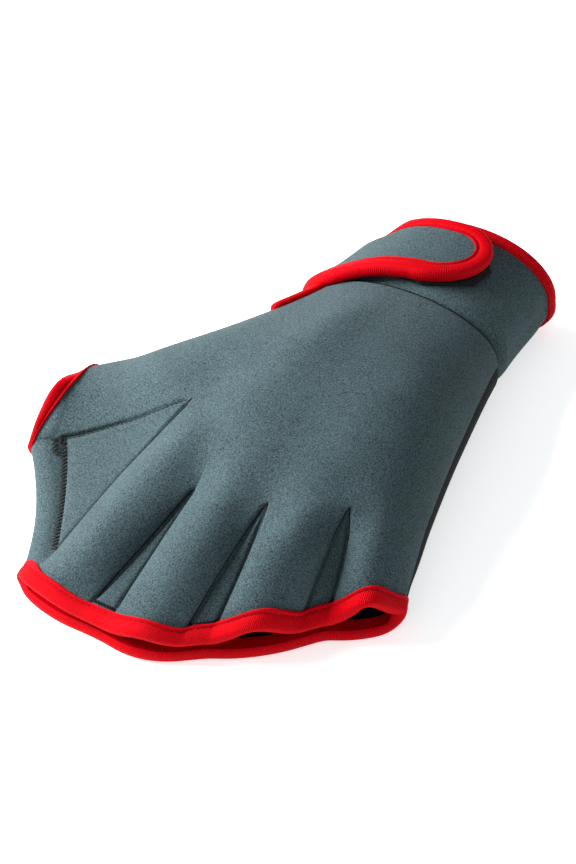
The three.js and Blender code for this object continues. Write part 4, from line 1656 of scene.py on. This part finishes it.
@dataclass
class Strap:
    """The strap: a tongue wrapped over the thumb side and back of the cuff, with tape and hook patch."""

    plan: HandPlan
    lower: Course = Course((-9, 8, 22, 33, 44, 53), ((69.6,), (67.6,), (67.6,), (69.8,), (72.2,), (74,)))
    upper: float = 102.8
    reach: float = 61.6
    root: float = -9.0
    tip: float = 14.0
    lift_root: float = 1.5
    lift_tip: float = 3.1
    cloth: float = 2.5
    width: float = 5.0
    puff: float = 0.6
    draw: float = 3.2  # how far its upper edge is drawn down at the thumb side
    draw_up: tuple[float, float] = (92.0, 9.0)  # where that starts along the arm, and over how long
    draw_round: tuple[float, float] = (12.0, 16.0)  # where it fades round the wrist, and over how long
    climb: tuple[float, float] = (18.0, 20.0)  # where its climb on to the patch starts, and over how long
    wrist_top: float = 109.0
    wrist_long: float = 39.0
    patch_ends: tuple[float, float] = (42.0, 65.0)
    patch_narrows: float = 52.0
    patch_taper: float = 13.4
    patch_middle: float = 86.0
    patch_half: float = 13.0
    patch_thick: float = 1.45
    patch_gap: float = 0.4

    def __post_init__(self) -> None:
        """Unrolls the wrist: its outside at even distances round it, for a row of heights along the arm."""
        self.heights = np.linspace(62, 110, 97)
        self.rounds = np.linspace(-14, 76, 361)
        v = ((self.wrist_top - self.heights) / self.wrist_long - 1)[:, None]
        share = columns(220)[None]
        over, _ = self.plan.wrist(v, share, Face.BACK)
        under, _ = self.plan.wrist(v, share, Face.PALM)
        places = []
        for line, sign in ((under, -1.0), (over, 1.0)):
            reach = np.abs(self.rounds[self.rounds < 0] if sign < 0 else self.rounds[self.rounds >= 0])
            flat = np.swapaxes(line, 0, 1)
            base, _ = walk(flat, flat, np.broadcast_to(reach, (len(self.heights), len(reach))))
            places.append(base)
        self.table = np.concatenate(places, 1)

    def wrap(self, s: Array, y: Array) -> Array:
        """The wrist's outside, read from its table along straight lines.

        Args:
            s: Distances round from the thumb edge.
            y: Heights along the arm.

        Returns:
            Points.
        """
        i = np.clip((y - self.heights[0]) / (self.heights[1] - self.heights[0]), 0, len(self.heights) - 1.001)
        j = np.clip((s - self.rounds[0]) / (self.rounds[1] - self.rounds[0]), 0, len(self.rounds) - 1.001)
        a, b = i.astype(int), j.astype(int)
        t, u = (i - a)[..., None], (j - b)[..., None]
        g = self.table
        return mix(mix(g[a, b], g[a, b + 1], u), mix(g[a + 1, b], g[a + 1, b + 1], u), t)

    def on_wrist(self, s: Array, y: Array, off: Array) -> tuple[Array, Array]:
        """Places over the wrist.

        Args:
            s: Distances round from the thumb edge.
            y: Heights along the arm.
            off: Heights over the wrist's outside.

        Returns:
            Points and normals.
        """
        step = 1.5
        round_it = self.wrap(s + step, y) - self.wrap(s - step, y)
        along_it = self.wrap(s, y - step) - self.wrap(s, y + step)
        n = unit(np.cross(along_it, round_it))
        return self.wrap(s, y) + n * np.asarray(off)[..., None], n

    def lift(self, s: Array, y: Array) -> Array:
        """Height of the strap's underside over the wrist: up on to the patch, and drawn down by the thumb."""
        drawn = self.draw * fade(y, *self.draw_up) * (1 - fade(s, *self.draw_round))
        return mix(self.lift_root, self.lift_tip, fade(s, *self.climb)) - drawn

    def span(self, s: Array) -> tuple[Array, Array]:
        """Edges of the strap: its table, then half an ellipse round the tip.

        Args:
            s: Distances round from the thumb edge.

        Returns:
            Heights of the lower and the upper edge along the arm.
        """
        centre = self.reach - self.tip
        low_end = self.lower.one(centre)
        middle, half = (low_end + self.upper) / 2, (self.upper - low_end) / 2
        bulge = half * np.sqrt(np.clip(1 - (np.maximum(s - centre, 0) / self.tip) ** 2, 0, 1))
        low = np.where(s <= centre, self.lower.one(np.minimum(s, centre)), middle - bulge)
        return low, np.where(s <= centre, self.upper, middle + bulge)

    def steps(self) -> Array:
        """Stations along the strap, closer together round the tip.

        Returns:
            Distances round from the thumb edge.
        """
        centre = self.reach - self.tip
        turn = np.radians(np.linspace(0, 87, 30)[1:])
        return np.concatenate([np.linspace(self.root, centre, 80), centre + self.tip * np.sin(turn)])

    def build(self, cloth: bpy.types.Material, red: bpy.types.Material,
              hooks: bpy.types.Material) -> tuple[Array, Array]:
        """Makes the strap, its tape and the patch.

        Args:
            cloth: Cloth of the strap.
            red: Material of the tape.
            hooks: Material of the patch.

        Returns:
            The path of the tape's stitches, and the normals there.
        """
        s = self.steps()
        low, high = self.span(s)
        t = columns(34)[None]
        y = mix(high[:, None], low[:, None], t)
        wide = np.broadcast_to(s[:, None], y.shape)
        pillow = self.puff * (1 - (2 * t - 1) ** 4) * np.clip((high - low)[:, None] / 20, 0, 1)
        points, normals = self.on_wrist(wide, y, self.lift(wide, y) + self.cloth + pillow)
        solid, faces, inside = sheet(points, normals, self.cloth)
        dress(put_down("strap_cloth", solid, faces, cloth, inside=inside), "grey_cloth", "strap")
        self._patch(hooks)
        return self._tape(s, low, high, red)

    def _patch(self, hooks: bpy.types.Material) -> None:
        """Makes the hook patch under the tip, a band whose end narrows as the power 0.45 of the way left.

        Args:
            hooks: Material of the patch.
        """
        s = np.broadcast_to(np.linspace(*self.patch_ends, 36)[:, None], (36, 24))
        left = 1 - np.maximum(s - self.patch_narrows, 0) / self.patch_taper
        y = self.patch_middle + self.patch_half * np.clip(left, 0.1, 1) ** 0.45 * np.linspace(1, -1, 24)[None]
        points, normals = self.on_wrist(s, y, np.full_like(s, self.patch_gap + self.patch_thick))
        solid, faces, inside = sheet(points, normals, self.patch_thick)
        dress(put_down("hook_patch", solid, faces, hooks, inside=inside), "fastener", "fastener_patch")

    def _tape(self, s: Array, low: Array, high: Array, red: bpy.types.Material) -> tuple[Array, Array]:
        """Tape along the lower edge, round the tip and back along the upper edge.

        Args:
            s: Stations along the strap.
            low: Heights of its lower edge.
            high: Heights of its upper edge.
            red: Material of the tape.

        Returns:
            The path of its stitches, and the normals there.
        """
        rim = np.concatenate([np.stack([s, low], -1), np.stack([s, high], -1)[::-1]])
        ahead = unit(np.gradient(rim, axis=0))
        inward = np.stack([-ahead[:, 1], ahead[:, 0]], -1)
        reach = (self.width * TapeSection.SHARES)[None, :, None]
        place = rim[:, None] + inward[:, None] * reach
        round_it, up_it = place[..., 0], place[..., 1]
        base, normals = self.on_wrist(round_it, up_it, self.lift(round_it, up_it) + self.cloth)
        run = TapeRun(base, normals, np.full(len(rim), self.cloth), np.ones(len(rim)))
        section = TapeSection(thick=1.15, inner=0.5)
        return EdgeTape("strap_tape", "strap_binding", section).build(run, False, red)


@dataclass
class SlitTape:
    """The short run of tape on the slit's edge, standing on the thumb side of the back."""

    plan: HandPlan
    first: float = 0.05
    last: float = 0.37
    share: float = 0.0865
    slope: float = -0.0445
    width: float = 4.4
    stand: float = 3.4
    sunk: float = 1.0
    girth: float = 12.0
    corner: float = 0.8  # power that squares the section off a little

    def build(self, red: bpy.types.Material) -> None:
        """Carries a rounded section over the skin, drawn in at both ends.

        Args:
            red: Material of the tape.
        """
        t = np.linspace(0, 1, 60)
        v = mix(self.first, self.last, t)
        share = (self.share + self.slope * v) / self.plan.ribbons[0].end
        place = self.plan.ribbon(0, v, share, Face.BACK)[0]
        beside = self.plan.ribbon(0, v, share + 0.02, Face.BACK)[0]
        run = unit(np.gradient(place, axis=0))
        up = unit(np.cross(run, beside - place))
        up = up * np.sign(up[:, 2:])
        side = np.cross(up, run)
        turn = np.linspace(0, 2 * np.pi, 20, endpoint=False)
        size = np.sqrt(np.clip(1 - (2 * t - 1) ** 10, 0.02, 1))[:, None]
        a, b = (np.sign(wave) * np.abs(wave) ** self.corner * across / 2
                for wave, across in ((np.cos(turn), self.width), (np.sin(turn), self.stand)))
        centre = place + up * (self.stand / 2 * size - self.sunk)
        rings = (centre[:, None] + side[:, None] * (a[None] * size)[..., None]
                 + up[:, None] * (b[None] * size)[..., None])
        points, faces, uv = tube(rings, False, along(centre), np.linspace(0, self.girth, len(turn) + 1))
        dress(put_down("slit_tape", points, faces, red, uv=uv), "red_tape", "slit_binding")


@dataclass
class Sewing:
    """Thread: small stitches in the grooves of the tapes and black seams round the webs, where close black
    thread in the seam grooves is partly thread and partly painted shade of the grooves.
    """

    hand: HandPanels
    in_groove: Stitch = Stitch(2.2, 1.5, 0.2, lift=0.05)
    in_zigzag: Stitch = Stitch(0.8, 3.2, 0.31, slant=74.0, lift=1.6)
    upper_seam: Stitch = Stitch(1.9, 1.0, 0.15, lift=0.25)
    across_foot: Stitch = Stitch(0.6, 1.6, 0.22, slant=55.0, lift=0.35)
    # the next three lay close black thread in the seam grooves as a dark line, partly thread and partly
    # painted shade of the groove
    wide_seam_thread_and_shade: Stitch = Stitch(0.9, 1.5, 0.2, lift=0.1)
    narrow_seam_thread_and_shade: Stitch = Stitch(0.9, 1.5, 0.26, lift=0.1)
    wrist_seam_thread_and_shade: Stitch = Stitch(0.9, 1.7, 0.5, lift=-0.1)
    feet: tuple[float, float, float] = (6.4, 7.6, 7.4)  # way up each narrow web from its rim to the stitches
    seams_end: float = 1.9  # station where the seams of the narrow webs end

    def _line(self, first: float, last: float, station: float) -> tuple[Array, Array]:
        """A line over the thumb web at one station.

        Args:
            first: Share of the web's width where it starts.
            last: Share where it ends.
            station: The station.

        Returns:
            Its points, and the web's own upward direction there, clear of the pull of the seam.
        """
        share = np.linspace(first, last, 200)
        web = self.hand.web_tops[0]
        line = web.sample(np.full_like(share, station), share)[0]
        return line, web.sample(np.full_like(share, station - 0.25), share)[1]

    def zigzag(self) -> list[tuple[Array, Array]]:
        """Close slanted stitches beside the rolled strip; at the thumb end they turn back on themselves.

        Returns:
            Points and triangles of each row.
        """
        seam = self.hand.strip_from
        rows = [self._line(0.015, 0.99, seam - 0.012), self._line(0.02, 0.15, seam + 0.040)]
        turn = np.linspace(seam - 0.022, seam + 0.028, 60)
        rows.append(self.hand.web_tops[0].sample(turn, np.full_like(turn, 0.022))[:2])
        return [self.in_zigzag.row(path, normals) for path, normals in rows]

    def seams(self) -> list[tuple[Array, Array]]:
        """The other seams of the back.

        Fine stitches go along the thumb web's upper seam and across the foot of each narrow web. Close black
        thread lies in the grooves of the other seams and of the wrist seam as a dark line, partly thread and
        partly painted shade of the groove.

        Returns:
            Points and triangles of each row.
        """
        wide, seam = self.hand.web_tops[0], self.hand.strip_from
        v = np.linspace(1.03, seam, 200)
        parts = [self.upper_seam.row(*wide.sample(v, np.full_like(v, 0.006))[:2])]
        for k, foot in enumerate(self.feet, start=1):
            share, up_web = np.linspace(0.0, 1.0, 60), np.linspace(2.0, 1.66, 80)
            points, normals, _ = self.hand.web_tops[k].sample(up_web[:, None], share[None])
            base, turned = walk(points, normals, np.full((60, 1), foot))
            parts.append(self.across_foot.row(base[:, 0], turned[:, 0]))
        # black thread along the web seams: a dark line, partly painted shade of the seam groove
        for k, side in ((0, 1.0), (1, 0.0), (1, 1.0), (2, 0.0), (2, 1.0), (3, 0.0), (3, 1.0)):
            stitch, end = (self.wide_seam_thread_and_shade, seam) if k == 0 else (self.narrow_seam_thread_and_shade, self.seams_end)
            v = np.linspace(self.hand.plan.webs[k].start + 0.01, end, 300)
            parts.append(stitch.row(*self.hand.web_tops[k].sample(v, np.full_like(v, side))[:2]))
        # black bead in the wrist seam's groove: partly thread, partly painted shade of the groove
        ends = [np.stack(top.sample(np.array([[0.0], [0.01]]), np.linspace(0, 0.999, 120)[None])[:2])
                for top in self.hand.tops]
        edge = np.concatenate(ends, 2)
        line = edge[0, 0] + unit(edge[0, 0] - edge[0, 1]) * 0.2
        return [*parts, self.wrist_seam_thread_and_shade.row(line, edge[1, 0])]

    def build(self, tapes: Sequence[tuple[Array, Array]], red: bpy.types.Material,
              black: bpy.types.Material) -> None:
        """Makes all the thread.

        Args:
            tapes: Path and normals of the stitches in each tape's groove.
            red: Thread of the tapes.
            black: Thread of the seams, and of the dark lines in the seam grooves that are partly painted
                shade.
        """
        points, faces = gather([self.in_groove.row(path, up) for path, up in tapes])
        dress(put_down("tape_stitches", points, faces, red), "red_tape")
        points, faces = gather(self.zigzag() + self.seams())
        dress(put_down("seam_stitches_and_shade_lines", points, faces, black), "black_cloth")


@dataclass(frozen=True)
class Lamp:
    """A square soft lamp: place and size in metres, power in watts."""

    name: str
    place: tuple[float, float, float]
    size: float
    power: float

    def build(self, target: Vector) -> None:
        """Hangs the lamp up.

        Args:
            target: Place it is aimed at.
        """
        lamp = bpy.data.lights.new(self.name, "AREA")
        lamp.size, lamp.energy = self.size, self.power
        body = bpy.data.objects.new(self.name, lamp)
        body.location = self.place
        body.rotation_mode = "QUATERNION"
        body.rotation_quaternion = (target - Vector(self.place)).to_track_quat("-Z", "Y")
        bpy.context.scene.collection.objects.link(body)


@dataclass
class Studio:
    """Plain pale floor, soft lights and the camera at the photograph's angle."""

    azimuth: float = 28.0
    elevation: float = 48.0
    distance: float = 0.750
    target: Vector = field(default_factory=lambda: Vector((0.009917, -0.007613, 0.020)))
    lens: float = 87.5
    picture: float = 864.0  # the picture's longer side in its own points
    shift: tuple[float, float] = (-2.0, 8.0)  # of the picture, in the same points
    floor_half: float = 9000.0  # half the floor's side in millimetres
    floor_glow: float = 0.56
    surround: float = 0.46
    lamps: tuple[Lamp, ...] = (Lamp("key", (-0.70, -0.18, 0.48), 0.45, 24.0),
                               Lamp("fill", (0.2, -0.9, 0.5), 0.8, 0.6))

    def build(self) -> None:
        """Sets up the camera, the floor and the lights."""
        self._camera()
        self._floor()
        self._lights()

    def _camera(self) -> None:
        """Looks at the target from the photograph's side and height."""
        a, e = math.radians(self.azimuth), math.radians(self.elevation)
        back = Vector((math.sin(a) * math.cos(e), -math.cos(a) * math.cos(e), math.sin(e)))
        lens = bpy.data.cameras.new("camera")
        lens.sensor_width, lens.lens = 36.0, self.lens
        lens.shift_x, lens.shift_y = (shift / self.picture for shift in self.shift)
        camera = bpy.data.objects.new("camera", lens)
        camera.location = self.target + back * self.distance
        camera.rotation_mode = "QUATERNION"
        camera.rotation_quaternion = (-back).to_track_quat("-Z", "Y")
        bpy.context.scene.collection.objects.link(camera)
        bpy.context.scene.camera = camera

    def _floor(self) -> None:
        """A wide pale floor, lit a little from below as a light table is."""
        f = Finish("floor", Roughness=0.9, Specular_IOR_Level=0.1, Emission_Color=(1.0, 1.0, 1.0, 1.0),
                   Emission_Strength=self.floor_glow)
        f.link(f.blend(f.noise(400.0), colour("f4f6f6"), colour("fafbfb")), "Base Color")
        corners = np.array([[-1, -1, 0], [1, -1, 0], [1, 1, 0], [-1, 1, 0]]) * self.floor_half + PLAN_CENTRE
        floor = put_down("floor", corners, np.array([[0, 1, 2, 3]]), f.material)

    def _lights(self) -> None:
        """A soft key from the picture's upper left, a weak fill, and an even pale surround."""
        world = bpy.data.worlds.new("surround")
        bpy.context.scene.world = world
        world.use_nodes = True
        ground = next(n for n in world.node_tree.nodes if n.type == "BACKGROUND")
        ground.inputs["Color"].default_value = (0.93, 0.97, 1.0, 1.0)
        ground.inputs["Strength"].default_value = self.surround
        for lamp in self.lamps:
            lamp.build(self.target)
        bpy.context.scene.view_settings.view_transform = "Standard"


def main() -> None:
    """Builds the glove and its studio in order."""
    logging.basicConfig(level=logging.INFO, format="%(name)s %(message)s")
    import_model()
    grey = KnitCloth("grey_knit", "172022", "506469", "0e1113").material()
    web = KnitCloth("web_knit", "161f21", "4b5e63", "0e1113").material()
    black = KnitCloth("black_knit", "050607", "0e1112", "08090a").material()
    # the darker red goes in the troughs between the ribs as painted shade
    red = RibbedTape("red_ribbed_tape", "92000a", "ca000f").material()
    hooks = HookFace().material()
    red_thread = Thread("red_thread", "4c0005", "7c0009").material()
    # black thread, also used for the painted shade lines in the seam grooves
    black_thread_and_shade = Thread("black_thread_and_shade", "020303", "0c0e0f").material()

    studio = Studio()
    studio.build()
    plan = HandPlan()
    hand = HandPanels(plan)
    hand.build(grey, web, black)
    mouths = Mouths(hand)
    rows = []
    for name, run, section in (("finger", mouths.fingers(), TapeSection()),
                               ("thumb", mouths.thumb(), TapeSection(thick=0.85, beyond=1.0))):
        rows.append(EdgeTape(f"{name}_tape", f"{name}_binding", section).build(run, True, red))
    rows += [Cuff(plan).build(grey, red), Strap(plan).build(grey, red, hooks)]
    SlitTape(plan).build(red)
    Sewing(hand).build(rows, red_thread, black_thread_and_shade)


if __name__ == "__main__":
    main()
